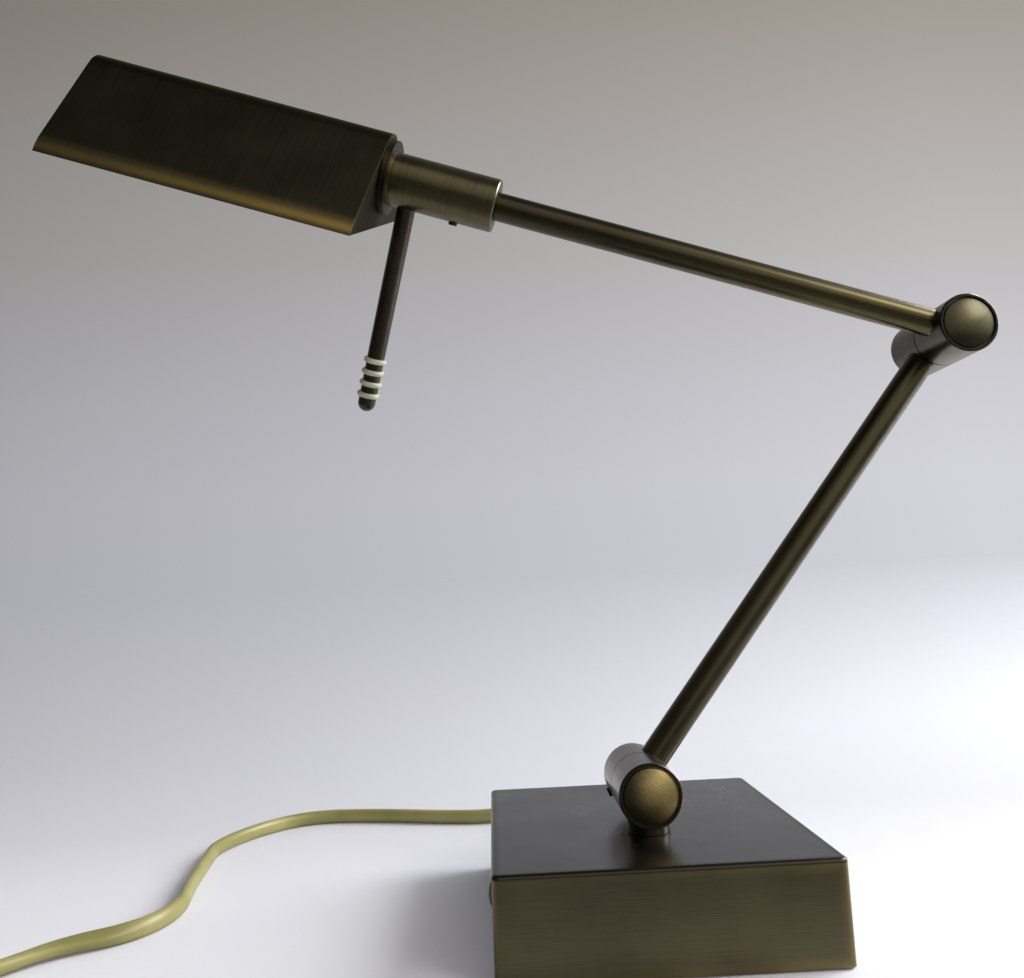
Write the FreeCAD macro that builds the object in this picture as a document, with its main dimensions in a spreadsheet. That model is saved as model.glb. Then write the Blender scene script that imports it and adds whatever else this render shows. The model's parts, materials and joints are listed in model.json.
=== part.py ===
"""Piano lamp: a square weighted base, two arms on barrel elbows, and a roof-shaped metal shade.

Millimetres and degrees. +Z is up, +X is the side that the lower arm leans to, and -Y is the front.
The origin is on the table, under the middle of the base.
"""

import FreeCAD
import Part
import Sketcher
import math
import os
import re

V = FreeCAD.Vector
doc = FreeCAD.newDocument("piano_lamp")
sheet = doc.addObject("Spreadsheet::Sheet", "Sizes")

# ---------------------------------------------------------------------------- driving dimensions
SIZES = {
    # clearances
    "run_gap": 0.08,            # radial, between a shaft and the hole that it turns in
    "seat_gap": 0.05,           # between pieces that are screwed or pressed together
    "face_gap": 0.15,           # between the faces of two pieces that turn against each other
    "free_gap": 0.3,            # between moving pieces that never touch
    # base box
    "base_width": 100.0,
    "base_depth": 100.0,
    "base_height": 29.4,
    "base_corner": 2.2,         # radius of the upright corners
    "base_edge_round": 1.2,     # radius of the top edge
    "shell_wall": 1.8,
    "shell_top": 2.5,
    "shell_lift": 0.6,          # the shell's lower edge above the table
    "boss_radius": 3.5,
    "boss_inset": 8.0,          # boss centre from the outer faces
    "felt_thickness": 1.2,
    "felt_inset": 0.8,          # felt edge from the bottom plate's edge
    "plate_thickness": 1.5,
    "ballast_height": 12.0,
    "ballast_margin": 1.0,      # ballast to shell wall
    "ballast_corner": 16.0,     # cut off each corner, for the bosses
    "screw_radius": 1.4,
    "screw_length": 9.0,
    "screw_head_radius": 2.6,
    "screw_head_height": 1.0,
    "ballast_screw_offset": 28.0,
    # push switch in the left wall
    "switch_y": -19.5,
    "switch_z": 14.5,
    "button_radius": 3.2,
    "button_proud": 1.3,        # dome above the wall
    "button_edge_proud": 0.7,   # rim of the button above the wall
    "button_travel": 0.6,
    "button_stem": 6.0,         # depth of the button inside the wall's outer face
    "switch_bush_wall": 0.5,
    "bezel_wall": 0.25,
    "bezel_proud": 0.5,
    "switch_body_radius": 5.5,
    "switch_body_length": 15.0,
    "switch_notch": 17.0,       # notch in the ballast, inward from the wall
    # mains cord, its gland and its clamp
    "cord_radius": 3.0,
    "gland_length": 20.0,       # outside the wall
    "gland_root_radius": 5.2,
    "gland_tip_radius": 3.9,
    "gland_flange_radius": 6.5,
    "gland_flange": 1.6,
    "gland_neck_radius": 4.6,
    "clamp_width": 24.0,
    "clamp_depth": 8.0,
    "clamp_over_cord": 2.0,
    "clamp_distance": 4.0,      # from the gland's inner flange
    "clamp_screw_offset": 8.0,
    "clamp_screw_length": 12.0,
    "terminal_width": 22.0,
    "terminal_depth": 12.0,
    "terminal_height": 10.0,
    "terminal_distance": 6.0,   # from the clamp
    "lead_radius": 1.1,
    "lead_spacing": 3.0,
    # swivelling post
    "post_y": -16.5,
    "post_radius": 6.6,
    "post_tail_radius": 4.95,   # threaded tail through the base
    "post_tail_length": 9.5,    # below the base's top face
    "wire_radius": 2.4,         # bore for the wires
    "foot_washer_radius": 6.9,
    "foot_washer": 0.5,
    "spring_washer": 0.7,
    "spring_washer_radius": 8.4,
    "nut_across": 13.0,
    "post_nut": 4.0,
    # elbows: two barrels on one hollow bolt
    "knuckle_height": 42.2,     # axis of the lower elbow above the table
    "knuckle_radius": 10.0,
    "knuckle_length": 17.0,     # of one barrel
    "knuckle_chamfer": 0.35,
    "elbow_gap": 0.5,           # between the two barrels
    "seam_washer": 0.25,
    "seam_washer_radius": 9.2,
    "recess_radius": 8.95,
    "recess_depth": 4.6,
    "bolt_radius": 4.95,
    "bolt_bore": 3.4,
    "elbow_nut": 2.0,
    "elbow_spring": 0.5,
    "cap_radius": 8.6,
    "cap_dome": 0.9,            # top of the dome past the barrel's end
    "cap_sink": 0.2,            # rim of the dome below the barrel's end
    "cap_lip": 0.8,             # depth of the groove around the dome
    "cap_depth": 2.0,
    "cap_wall": 0.9,
    "nipple_radius": 3.45,      # threaded nipple from a barrel into its tube
    "nipple_reach": 12.0,       # into the tube
    "lock_screw_radius": 1.5,
    "lock_screw_length": 4.0,
    "lock_screw_proud": 0.9,
    "lock_screw_angle": 152.0,  # around the barrel, from the lower arm
    "lock_screw_offset": 8.5,   # behind the rear barrel's inner face
    # arms
    "lower_lean": 38.3,         # lower arm from upright, towards +X
    "upper_rise": 17.6,         # upper arm above level, towards -X
    "tube_radius": 4.75,
    "tube_wall": 0.9,
    "lower_arm_length": 187.5,  # between elbow axes
    "rear_tube_offset": 5.0,    # tube axis behind the rear barrel's inner face
    "arm_lead_radius": 2.2,
    # head: a sleeve that turns on the upper arm's end
    "sleeve_start": 163.5,      # from the upper elbow's axis
    "sleeve_length": 36.9,
    "sleeve_radius": 8.9,
    "sleeve_wall": 0.9,
    "sleeve_lip": 1.8,
    "sleeve_chamfer": 0.4,
    "bush_length": 19.4,
    "core_length": 12.8,
    "keeper_place": 13.5,       # groove screw, from the sleeve's start
    "keeper_radius": 1.5,
    "keeper_depth": 1.5,        # groove in the bush
    "keeper_proud": 0.9,
    "flange_radius": 12.4,
    "flange_thickness": 2.25,   # from the sleeve's end to the shade sheet's edge
    "head_nipple_length": 9.1,  # past the sleeve
    "head_nut": 2.8,
    # shade
    "shade_roll": 29.9,         # about the upper arm, opening towards the back
    "shade_length": 103.85,
    "shade_half_width": 35.5,
    "crown_height": 14.15,      # above the arm's axis
    "crown_radius": 9.1,
    "panel_slope": 42.8,
    "lip_radius": 18.0,
    "lip_angle": 20.0,
    "sheet": 0.9,
    "end_plate": 1.0,
    "end_plate_sink": 0.15,     # behind the sheet's edge
    "reflector_inset": 2.6,
    "reflector_sheet": 0.5,
    "reflector_margin": 0.4,    # to the end plates
    "reflector_rise": 1.5,      # its edge above the shade's edge
    # lamp
    "holder_radius": 7.5,
    "holder_length": 16.0,
    "holder_cup": 3.0,
    "holder_floor": 1.0,
    "capsule_radius": 6.2,
    "capsule_length": 36.0,
    "capsule_foot_radius": 4.6,
    "capsule_foot": 6.0,
    "capsule_shoulder": 2.0,    # from the foot out to the bulb
    # handle rod and its grip rings
    "handle_setback": 6.4,      # from the sleeve's far end
    "handle_twist": 5.2,        # about the arm, from the shade's middle plane
    "handle_radius": 3.2,
    "handle_length": 82.7,      # from the arm's axis to the tip
    "handle_root": 4.4,         # its inner end, from the arm's axis
    "ring_radius": 0.98,        # section of a ring
    "ring_groove": 1.0,         # depth of its groove
    "ring_pitch": 4.35,
    "ring_first": 6.5,          # last ring from the tip
    "ring_count": 4,
    # coil of the spare cord, and the plug
    "coil_x": -261.0,
    "coil_y": -42.0,
    "coil_turn_in": 30.0,
    "coil_turn_out": 42.0,
    "coil_height": 12.0,
    "coil_lift": 0.1,
    "coil_stub": 25.0,
    "last_run": 22.0,           # of the cord, before the coil's stub
    "coil_heading": -124.0,     # direction in which the cord comes in, from +X
    "tail_heading": 90.0,       # direction in which it leaves
    "plug_width": 35.0,
    "plug_height": 13.6,
    "plug_length": 24.0,
    "plug_corner": 4.0,
    "plug_relief": 18.0,
    "plug_relief_radius": 4.6,
    "pin_radius": 2.0,
    "pin_length": 19.0,
    "pin_spacing": 19.0,
}
for row, (alias, number) in enumerate(SIZES.items(), start=1):
    sheet.set(f"A{row}", alias)
    sheet.set(f"B{row}", str(number))
    sheet.setAlias(f"B{row}", alias)
doc.recompute()

NAMES = re.compile(r"\b(" + "|".join(sorted(SIZES, key=len, reverse=True)) + r")\b")


def bound(text):
    """The expression with each size's name pointing at its cell."""
    return NAMES.sub(r"Sizes.\1", str(text))


def size(text):
    """The number that an expression gives now."""
    return float(sheet.evalExpression(bound(text)))


# Places that several pieces share, as expressions.
CAVITY_TOP = "(base_height - shell_top)"
PLATE_BOTTOM = "felt_thickness"
PLATE_TOP = "(felt_thickness + plate_thickness)"
BALLAST_TOP = f"({PLATE_TOP} + seat_gap + ballast_height)"
REAR_INSIDE = "(base_depth / 2 - shell_wall)"
LEFT_WALL = "(-base_width / 2)"
POST_FOOT = "(base_height + foot_washer + face_gap)"
SEAM_Y = "(post_y + knuckle_length / 2 + elbow_gap / 2)"
FRONT_HOLE = "(-elbow_gap / 2 - knuckle_length / 2)"
REAR_HOLE = "(elbow_gap / 2 + rear_tube_offset)"
NIPPLE_HOLE = "(nipple_radius + seat_gap)"
NIPPLE_START = "(bolt_radius + free_gap)"
TUBE_BORE = "(tube_radius - tube_wall)"
SLEEVE_BORE = "(sleeve_radius - sleeve_wall)"
SLEEVE_END = "(sleeve_start + sleeve_length)"
HANDLE_PLACE = f"({SLEEVE_END} - handle_setback)"
CORE_START = f"({SLEEVE_END} - core_length)"
BUSH_START = "(sleeve_start + sleeve_lip + free_gap)"
BUSH_RADIUS = f"({SLEEVE_BORE} - run_gap)"
SHADE_START = f"({SLEEVE_END} + flange_thickness)"
PLATE_START = f"({SHADE_START} + end_plate_sink)"
HOLDER_START = f"({PLATE_START} + end_plate + head_nut + seat_gap)"
GLAND_Z = f"({BALLAST_TOP} + seat_gap + cord_radius)"
GLAND_TIP = "(base_depth / 2 + gland_length)"
CLAMP_REAR = f"({REAR_INSIDE} - gland_flange - clamp_distance)"
TERMINAL_REAR = f"({CLAMP_REAR} - clamp_depth - terminal_distance)"
CLAMP_TOP = f"({GLAND_Z} + cord_radius + clamp_over_cord)"
BUTTON_BORE = "(button_radius + run_gap)"
BUSH_OUTSIDE = f"({BUTTON_BORE} + switch_bush_wall)"


# ---------------------------------------------------------------------------- drawing helpers
def placement(x, y, z, axis=(0, 0, 1), angle="0"):
    """The expression of a placement: moved to x, y, z and turned about an axis."""
    ax, ay, az = axis
    return (
        f"create(<<placement>>; create(<<vector>>; {x}; {y}; {z});"
        f" create(<<rotation>>; create(<<vector>>; {ax}; {ay}; {az}); {angle}))"
    )


def frame(name, place, turn=((0, 0, 1), "0"), parent=None):
    """A named coordinate frame: moved to place and turned about an axis, in its parent's frame."""
    made = doc.addObject("App::Placement", name)
    inside = f"{parent}.Placement * " if parent else ""
    made.setExpression("Placement", bound(inside + placement(*place, *turn)))
    return made


def body(name, at=None, several=False):
    """An empty sub-part in a frame; several allows a group of separate solids."""
    made = doc.addObject("PartDesign::Body", name)
    made.Label = name
    made.AllowCompound = several
    if at:
        made.setExpression("Placement", f"{at}.Placement")
    return made


def sketch(of, plane, offset="0", spin=None):
    """A sketch on one of the body's own origin planes, turned by spin about its vertical axis
    and then moved along its normal."""
    made = of.newObject("Sketcher::SketchObject", of.Name + "_sketch")
    datum = next(o for o in of.Origin.OriginFeatures if o.Role == plane + "_Plane")
    made.AttachmentSupport = (datum, [""])
    made.MapMode = "FlatFace"
    if spin:
        made.setExpression("AttachmentOffset", bound(
            f"{placement('0', '0', '0', (0, 1, 0), spin)} * {placement('0', '0', offset)}"))
    elif offset != "0":
        made.setExpression("AttachmentOffset.Base.z", bound(offset))
    return made


def fix(drawing, kind, *where, to):
    """A dimension of the sketch, bound to an expression."""
    number = drawing.addConstraint(Sketcher.Constraint(kind, *where, size(to)))
    drawing.setExpression(f"Constraints[{number}]", bound(to))


def outline(drawing, points, arcs=None):
    """A closed outline through points; arcs gives a radius to the side after a point, bulging
    to the right of the way drawn (turning anticlockwise)."""
    arcs = arcs or {}
    flat = [V(size(x), size(y), 0) for x, y in points]
    first = drawing.GeometryCount
    count = len(points)
    for i, start in enumerate(flat):
        end = flat[(i + 1) % count]
        if i in arcs:
            radius = size(arcs[i])
            chord = end - start
            rise = math.sqrt(max(radius**2 - (chord.Length / 2) ** 2, 0))
            left = V(-chord.y, chord.x, 0).normalize()
            middle = (start + end) * 0.5 + left * rise
            turns = [math.atan2(p.y - middle.y, p.x - middle.x) for p in (start, end)]
            drawing.addGeometry(Part.ArcOfCircle(Part.Circle(middle, V(0, 0, 1), radius), *turns))
        else:
            drawing.addGeometry(Part.LineSegment(start, end))
    for i in range(count):
        following = first + (i + 1) % count
        drawing.addConstraint(Sketcher.Constraint("Coincident", first + i, 2, following, 1))
    for i, (x, y) in enumerate(points):
        fix(drawing, "DistanceX", -1, 1, first + i, 1, to=x)
        fix(drawing, "DistanceY", -1, 1, first + i, 1, to=y)
        if i in arcs:
            fix(drawing, "Radius", first + i, to=arcs[i])


def circle(drawing, x, y, radius):
    """A circle with its centre and radius bound."""
    number = drawing.addGeometry(Part.Circle(V(size(x), size(y), 0), V(0, 0, 1), size(radius)))
    fix(drawing, "DistanceX", -1, 1, number, 3, to=x)
    fix(drawing, "DistanceY", -1, 1, number, 3, to=y)
    fix(drawing, "Radius", number, to=radius)


def rectangle(drawing, x0, y0, x1, y1):
    """A rectangle between two corners."""
    outline(drawing, [(x0, y0), (x1, y0), (x1, y1), (x0, y1)])


def hexagon(drawing, across):
    """A hexagon around the origin, across its flats."""
    reach = f"({across} / sqrt(3))"
    outline(drawing, [(f"{reach} * cos({60 * i}deg)", f"{reach} * sin({60 * i}deg)") for i in range(6)])


def pad(of, drawing, length, midplane=False, back=False):
    """Material from a sketch along its normal, back for the other way."""
    made = of.newObject("PartDesign::Pad", of.Name + "_pad")
    made.Profile = drawing
    made.Midplane = midplane
    made.Reversed = back
    made.setExpression("Length", bound(length))
    return made


def cut(of, drawing, length, midplane=False, back=False):
    """A pocket from a sketch, against its normal, back for along it; it has to remove something."""
    doc.recompute()
    before = of.Shape.Volume
    made = of.newObject("PartDesign::Pocket", of.Name + "_pocket")
    made.Profile = drawing
    made.Midplane = midplane
    made.Reversed = back
    made.setExpression("Length", bound(length))
    doc.recompute()
    if not of.Shape.Volume < before:
        raise ValueError(f"{of.Name}: a pocket removed nothing")
    return made


def turn(of, drawing, axis):
    """A full turn of a sketch about its own H_Axis or V_Axis."""
    made = of.newObject("PartDesign::Revolution", of.Name + "_turn")
    made.Profile = drawing
    made.ReferenceAxis = (drawing, [axis])
    made.Angle = 360
    return made


def turned(name, at, axis, points, arcs=None):
    """A turned piece. About Z or Y the points are (radius, along), about X (along, radius)."""
    made = body(name, at)
    drawing = sketch(made, "XZ" if axis == "Z" else "XY")
    outline(drawing, points, arcs)
    turn(made, drawing, "H_Axis" if axis == "X" else "V_Axis")
    return made


def ring(name, at, axis, inner, outer, start, end):
    """A plain turned ring, tube or washer."""
    box = [(inner, start), (outer, start), (outer, end), (inner, end)]
    return turned(name, at, axis, box if axis != "X" else [(b, a) for a, b in box])


nodes = {}


def keep(piece):
    """Adds a finished sub-part to the hand-out under its label."""
    nodes[piece.Label] = piece
    return piece


# ---------------------------------------------------------------------------- base
def base_shell():
    """The plated steel box, open below, with four screw bosses."""
    shell = body("base_shell")
    outer = sketch(shell, "XY", "shell_lift")
    rectangle(outer, "-base_width / 2", "-base_depth / 2", "base_width / 2", "base_depth / 2")
    block = pad(shell, outer, "base_height - shell_lift")
    doc.recompute()

    def edges(of, keep_edge):
        return [f"Edge{i + 1}" for i, e in enumerate(of.Shape.Edges) if keep_edge(e.BoundBox)]

    corners = shell.newObject("PartDesign::Fillet", "shell_corners")
    corners.Base = (block, edges(block, lambda b: b.ZLength > size("base_height / 2")))
    corners.setExpression("Radius", bound("base_corner"))
    doc.recompute()
    top = shell.newObject("PartDesign::Fillet", "shell_top_edge")
    top.Base = (corners, edges(corners, lambda b: b.ZMin > size("base_height") - 0.001))
    top.setExpression("Radius", bound("base_edge_round"))
    inside = sketch(shell, "XY", "shell_lift")
    wide, deep = "(base_width / 2 - shell_wall)", REAR_INSIDE
    rectangle(inside, f"-{wide}", f"-{deep}", wide, deep)
    cut(shell, inside, f"{CAVITY_TOP} - shell_lift", back=True)
    bosses = sketch(shell, "XY", f"{PLATE_TOP} + seat_gap")
    for x in (-1, 1):
        for y in (-1, 1):
            circle(bosses, f"{x} * (base_width / 2 - boss_inset)",
                   f"{y} * (base_depth / 2 - boss_inset)", "boss_radius")
    pad(shell, bosses, f"{CAVITY_TOP} - {PLATE_TOP}")
    holes = sketch(shell, "XY", f"{PLATE_TOP} + seat_gap")
    for x in (-1, 1):
        for y in (-1, 1):
            circle(holes, f"{x} * (base_width / 2 - boss_inset)",
                   f"{y} * (base_depth / 2 - boss_inset)", "screw_radius + seat_gap")
    cut(shell, holes, "screw_length", back=True)
    post = sketch(shell, "XY", "base_height + 1")
    circle(post, "0", "post_y", "post_tail_radius + run_gap")
    cut(shell, post, "shell_top + 2")
    gland = sketch(shell, "XZ", "-base_depth / 2 - 1")
    circle(gland, "0", GLAND_Z, "gland_neck_radius + seat_gap")
    cut(shell, gland, "shell_wall + 2", back=True)
    button = sketch(shell, "YZ", "-base_width / 2 - 1")
    circle(button, "switch_y", "switch_z", f"{BUSH_OUTSIDE} + seat_gap")
    cut(shell, button, "shell_wall + 2", back=True)
    return shell


def screw_places():
    """The bottom plate's six screws: four into the bosses, two into the ballast."""
    bosses = [(f"{x} * (base_width / 2 - boss_inset)", f"{y} * (base_depth / 2 - boss_inset)")
              for x in (-1, 1) for y in (-1, 1)]
    return bosses + [(f"{x} * ballast_screw_offset", "ballast_screw_offset / 2") for x in (-1, 1)]


def clamp_screw_places():
    """The two screws that hold the cord's clamp on the ballast."""
    return [(f"{x} * clamp_screw_offset", f"{CLAMP_REAR} - clamp_depth / 2") for x in (-1, 1)]


def bottom_plate():
    """A steel sheet that closes the box, with countersunk holes."""
    plate = body("bottom_plate")
    face = sketch(plate, "XY", PLATE_BOTTOM)
    wide, deep = "(base_width / 2 - shell_wall - free_gap)", f"({REAR_INSIDE} - free_gap)"
    rectangle(face, f"-{wide}", f"-{deep}", wide, deep)
    pad(plate, face, "plate_thickness")
    for radius, depth in (("screw_head_radius", "screw_head_height"), ("screw_radius", "plate_thickness")):
        holes = sketch(plate, "XY", PLATE_BOTTOM)
        for x, y in screw_places():
            circle(holes, x, y, f"{radius} + seat_gap")
        cut(plate, holes, f"{depth} + seat_gap", back=True)
    return plate


def plate_screws():
    """Six countersunk screws, one group."""
    screws = body("plate_screws", several=True)
    for radius, length in (("screw_head_radius", "screw_head_height"), ("screw_radius", "screw_length")):
        rounds = sketch(screws, "XY", PLATE_BOTTOM)
        for x, y in screw_places():
            circle(rounds, x, y, radius)
        pad(screws, rounds, length)
    return screws


def base_felt():
    """A felt sheet under the bottom plate: the face that the lamp stands on."""
    felt = body("base_felt")
    face = sketch(felt, "XY")
    wide = "(base_width / 2 - shell_wall - free_gap - felt_inset)"
    deep = f"({REAR_INSIDE} - free_gap - felt_inset)"
    rectangle(face, f"-{wide}", f"-{deep}", wide, deep)
    pad(felt, face, "felt_thickness")
    return felt


def ballast_block():
    """A steel weight, cut back for the bosses, the switch and the gland, with screw holes."""
    block = body("ballast_block")
    face = sketch(block, "XY", f"{PLATE_TOP} + seat_gap")
    wide, deep = "(base_width / 2 - shell_wall - ballast_margin)", f"({REAR_INSIDE} - ballast_margin)"
    leg = "ballast_corner"
    outline(face, [
        (f"{leg} - {wide}", f"-{deep}"), (f"{wide} - {leg}", f"-{deep}"),
        (wide, f"{leg} - {deep}"), (wide, f"{deep} - {leg}"),
        (f"{wide} - {leg}", deep), (f"{leg} - {wide}", deep),
        (f"-{wide}", f"{deep} - {leg}"), (f"-{wide}", f"{leg} - {deep}"),
    ])
    pad(block, face, "ballast_height")
    notches = sketch(block, "XY", f"{BALLAST_TOP} + 1")
    half = "(switch_body_radius + ballast_margin)"
    rectangle(notches, f"{LEFT_WALL} - 1", f"switch_y - {half}",
              f"{LEFT_WALL} + shell_wall + switch_notch", f"switch_y + {half}")
    side = "(gland_flange_radius + ballast_margin)"
    rectangle(notches, f"-{side}", f"{REAR_INSIDE} - gland_flange - ballast_margin",
              side, "base_depth / 2")
    cut(block, notches, "ballast_height + 2")
    holes = sketch(block, "XY", f"{BALLAST_TOP} + 1")
    for x, y in screw_places()[4:]:
        circle(holes, x, y, "screw_radius + seat_gap")
    cut(block, holes, "ballast_height + 2")
    tapped = sketch(block, "XY", f"{CLAMP_TOP} - clamp_screw_length")
    for x, y in clamp_screw_places():
        circle(tapped, x, y, "screw_radius + seat_gap")
    cut(block, tapped, "clamp_screw_length", back=True)
    return block


def switch():
    """The push switch: a body behind the wall with a bush through it, and a bezel nut outside."""
    place = frame("SwitchPlace", (LEFT_WALL, "switch_y", "switch_z")).Name
    inner = "(button_stem + button_travel + face_gap)"
    back = "(shell_wall + seat_gap)"
    keep(turned("switch_body", place, "X", [
        (f"{inner}", "0"), (f"{inner}", BUTTON_BORE), ("0", BUTTON_BORE), ("0", BUSH_OUTSIDE),
        (back, BUSH_OUTSIDE), (back, "switch_body_radius"),
        (f"{back} + switch_body_length", "switch_body_radius"), (f"{back} + switch_body_length", "0"),
    ]))
    keep(ring("switch_bezel", place, "X", f"{BUTTON_BORE} + seat_gap",
              f"{BUSH_OUTSIDE} + bezel_wall", "-bezel_proud", "-seat_gap"))
    rise = "(button_proud - button_edge_proud)"
    keep(turned("switch_button", place, "X", [
        ("-button_edge_proud", "button_radius"), ("-button_proud", "0"),
        ("button_stem", "0"), ("button_stem", "button_radius"),
    ], {0: f"(button_radius ^ 2 + {rise} ^ 2) / (2 * {rise})"}))


def cord_entry():
    """The gland, the cord inside it, its clamp with two screws, and the terminal block."""
    place = frame("CordEntry", ("0", "0", GLAND_Z)).Name
    bore = "(cord_radius + seat_gap)"
    wall, rear = REAR_INSIDE, "(base_depth / 2)"
    keep(turned("cord_gland", place, "Y", [
        (bore, f"{wall} - gland_flange"), ("gland_flange_radius", f"{wall} - gland_flange"),
        ("gland_flange_radius", f"{wall} - seat_gap"), ("gland_neck_radius", f"{wall} - seat_gap"),
        ("gland_neck_radius", f"{rear} + seat_gap"), ("gland_flange_radius", f"{rear} + seat_gap"),
        ("gland_flange_radius", f"{rear} + gland_flange"), ("gland_root_radius", f"{rear} + gland_flange"),
        ("gland_tip_radius", GLAND_TIP), (bore, GLAND_TIP),
    ]))
    keep(turned("inner_cord", place, "Y", [
        ("0", f"{CLAMP_REAR} - clamp_depth"), ("cord_radius", f"{CLAMP_REAR} - clamp_depth"),
        ("cord_radius", f"{GLAND_TIP} - free_gap"), ("0", f"{GLAND_TIP} - free_gap"),
    ]))
    clamp = body("cord_clamp")
    face = sketch(clamp, "XZ", f"-{CLAMP_REAR}")
    rectangle(face, "-clamp_width / 2", f"{BALLAST_TOP} + seat_gap", "clamp_width / 2", CLAMP_TOP)
    pad(clamp, face, "clamp_depth")
    tunnel = sketch(clamp, "XZ", f"-{CLAMP_REAR} - 1")
    rectangle(tunnel, f"-{bore}", "0", bore, GLAND_Z)
    cut(clamp, tunnel, "clamp_depth + 2", back=True)
    arch = sketch(clamp, "XZ", f"-{CLAMP_REAR} - 1")
    circle(arch, "0", GLAND_Z, bore)
    cut(clamp, arch, "clamp_depth + 2", back=True)
    screws = sketch(clamp, "XY", f"{CLAMP_TOP} + 1")
    for x, y in clamp_screw_places():
        circle(screws, x, y, "screw_radius + seat_gap")
    cut(clamp, screws, "clamp_screw_length + 1")
    keep(clamp)
    pair = body("clamp_screws", several=True)
    heads = sketch(pair, "XY", f"{CLAMP_TOP} + seat_gap")
    shanks = sketch(pair, "XY", f"{CLAMP_TOP} + seat_gap + screw_head_height")
    for x, y in clamp_screw_places():
        circle(heads, x, y, "screw_head_radius")
        circle(shanks, x, y, "screw_radius")
    pad(pair, heads, "screw_head_height")
    pad(pair, shanks, "screw_head_height + clamp_screw_length - seat_gap", back=True)
    keep(pair)
    block = body("terminal_block")
    face = sketch(block, "XY", f"{BALLAST_TOP} + seat_gap")
    rectangle(face, "-terminal_width / 2", f"{TERMINAL_REAR} - terminal_depth",
              "terminal_width / 2", TERMINAL_REAR)
    pad(block, face, "terminal_height")
    wells = sketch(block, "XY", f"{BALLAST_TOP} + terminal_height + 1")
    for x in (-1, 1):
        for y in (0.25, 0.75):
            circle(wells, f"{x} * terminal_width / 4", f"{TERMINAL_REAR} - {y} * terminal_depth",
                   "screw_head_radius")
    cut(block, wells, "terminal_height / 2")
    keep(block)
    leads = body("supply_leads", several=True)
    wires = sketch(leads, "XZ", f"-{TERMINAL_REAR} - seat_gap")
    for x in (-1, 1):
        circle(wires, f"{x} * lead_spacing / 2", GLAND_Z, "lead_radius")
    pad(leads, wires, "terminal_distance - 2 * seat_gap", back=True)
    keep(leads)


# ---------------------------------------------------------------------------- swivelling post
def post():
    """The turned post that carries the lower elbow, with its washers and nut."""
    place = frame("PostPlace", ("0", "post_y", "0")).Name
    keep(ring("foot_washer", place, "Z", "post_tail_radius + run_gap", "foot_washer_radius",
              "base_height", "base_height + foot_washer"))
    stem = body("post_stem", place)
    collar = sketch(stem, "XZ")
    outline(collar, [
        ("0", "base_height - post_tail_length"), ("post_tail_radius", "base_height - post_tail_length"),
        ("post_tail_radius", POST_FOOT), ("post_radius", POST_FOOT),
        ("post_radius", "knuckle_height"), ("0", "knuckle_height"),
    ])
    turn(stem, collar, "V_Axis")
    saddle = sketch(stem, "XZ")
    circle(saddle, "0", "knuckle_height", "knuckle_radius + seat_gap")
    cut(stem, saddle, "2 * post_radius + 2", midplane=True)
    spigot = sketch(stem, "XY", f"knuckle_height - {NIPPLE_START}")
    circle(spigot, "0", "0", "nipple_radius")
    pad(stem, spigot, f"knuckle_radius - {NIPPLE_START} + 1", back=True)
    bore = sketch(stem, "XY", "knuckle_height")
    circle(bore, "0", "0", "wire_radius")
    cut(stem, bore, "knuckle_height")
    keep(stem)
    low = f"({CAVITY_TOP} - face_gap - spring_washer)"
    keep(ring("post_washer", place, "Z", "post_tail_radius + seat_gap", "spring_washer_radius",
              low, f"{CAVITY_TOP} - face_gap"))
    nut = body("post_nut", place)
    face = sketch(nut, "XY", low)
    hexagon(face, "nut_across")
    circle(face, "0", "0", "post_tail_radius + seat_gap")
    pad(nut, face, "post_nut", back=True)
    keep(nut)


# ---------------------------------------------------------------------------- elbows
def knuckle(name, at, side, hole, way):
    """One barrel of an elbow: side -1 in front of the seam or 1 behind it, with a hole for its
    nipple at hole along the axis, on the barrel's upper (way 1) or lower (way -1) side."""
    inner, outer = f"{side} * elbow_gap / 2", f"{side} * (elbow_gap / 2 + knuckle_length)"
    floor = f"{side} * (elbow_gap / 2 + knuckle_length - recess_depth)"
    bevel = f"{side} * (elbow_gap / 2 + knuckle_length - knuckle_chamfer)"
    barrel = turned(name, at, "Y", [
        ("bolt_radius + run_gap", inner), ("knuckle_radius", inner), ("knuckle_radius", bevel),
        ("knuckle_radius - knuckle_chamfer", outer), ("recess_radius", outer),
        ("recess_radius", floor), ("bolt_radius + run_gap", floor),
    ])
    drilled = sketch(barrel, "XY")
    circle(drilled, "0", hole, NIPPLE_HOLE)
    cut(barrel, drilled, "knuckle_radius + 1", back=way > 0)
    return barrel


def knuckle_cap(name, at, side):
    """A domed cap pressed into a barrel's end, with a groove around the dome."""
    def out(past):
        return f"{side} * (elbow_gap / 2 + knuckle_length + {past})"

    pressed, hollow = "(recess_radius - seat_gap)", "(recess_radius - seat_gap - cap_wall)"
    rise = "(cap_dome + cap_sink)"
    points = [
        ("cap_radius", out("(0 - cap_sink)")), ("0", out("cap_dome")), ("0", out("(0 - cap_lip)")),
        (hollow, out("(0 - cap_lip)")), (hollow, out("(0 - cap_depth)")),
        (pressed, out("(0 - cap_depth)")), (pressed, out("(0 - cap_lip)")),
        ("cap_radius", out("(0 - cap_lip)")),
    ]
    dome = f"(cap_radius ^ 2 + {rise} ^ 2) / (2 * {rise})"
    if side > 0:
        return turned(name, at, "Y", points, {0: dome})
    return turned(name, at, "Y", [points[1], points[0]] + points[:1:-1], {0: dome})


def hex_nuts(name, at, places, height):
    """Hexagon nuts on the elbow's bolt, each from its place along the axis towards the front."""
    nuts = body(name, at, several=True)
    for place in places:
        face = sketch(nuts, "XZ", f"-({place})")
        hexagon(face, "nut_across")
        circle(face, "0", "0", "bolt_radius + seat_gap")
        pad(nuts, face, height)
    return nuts


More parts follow.
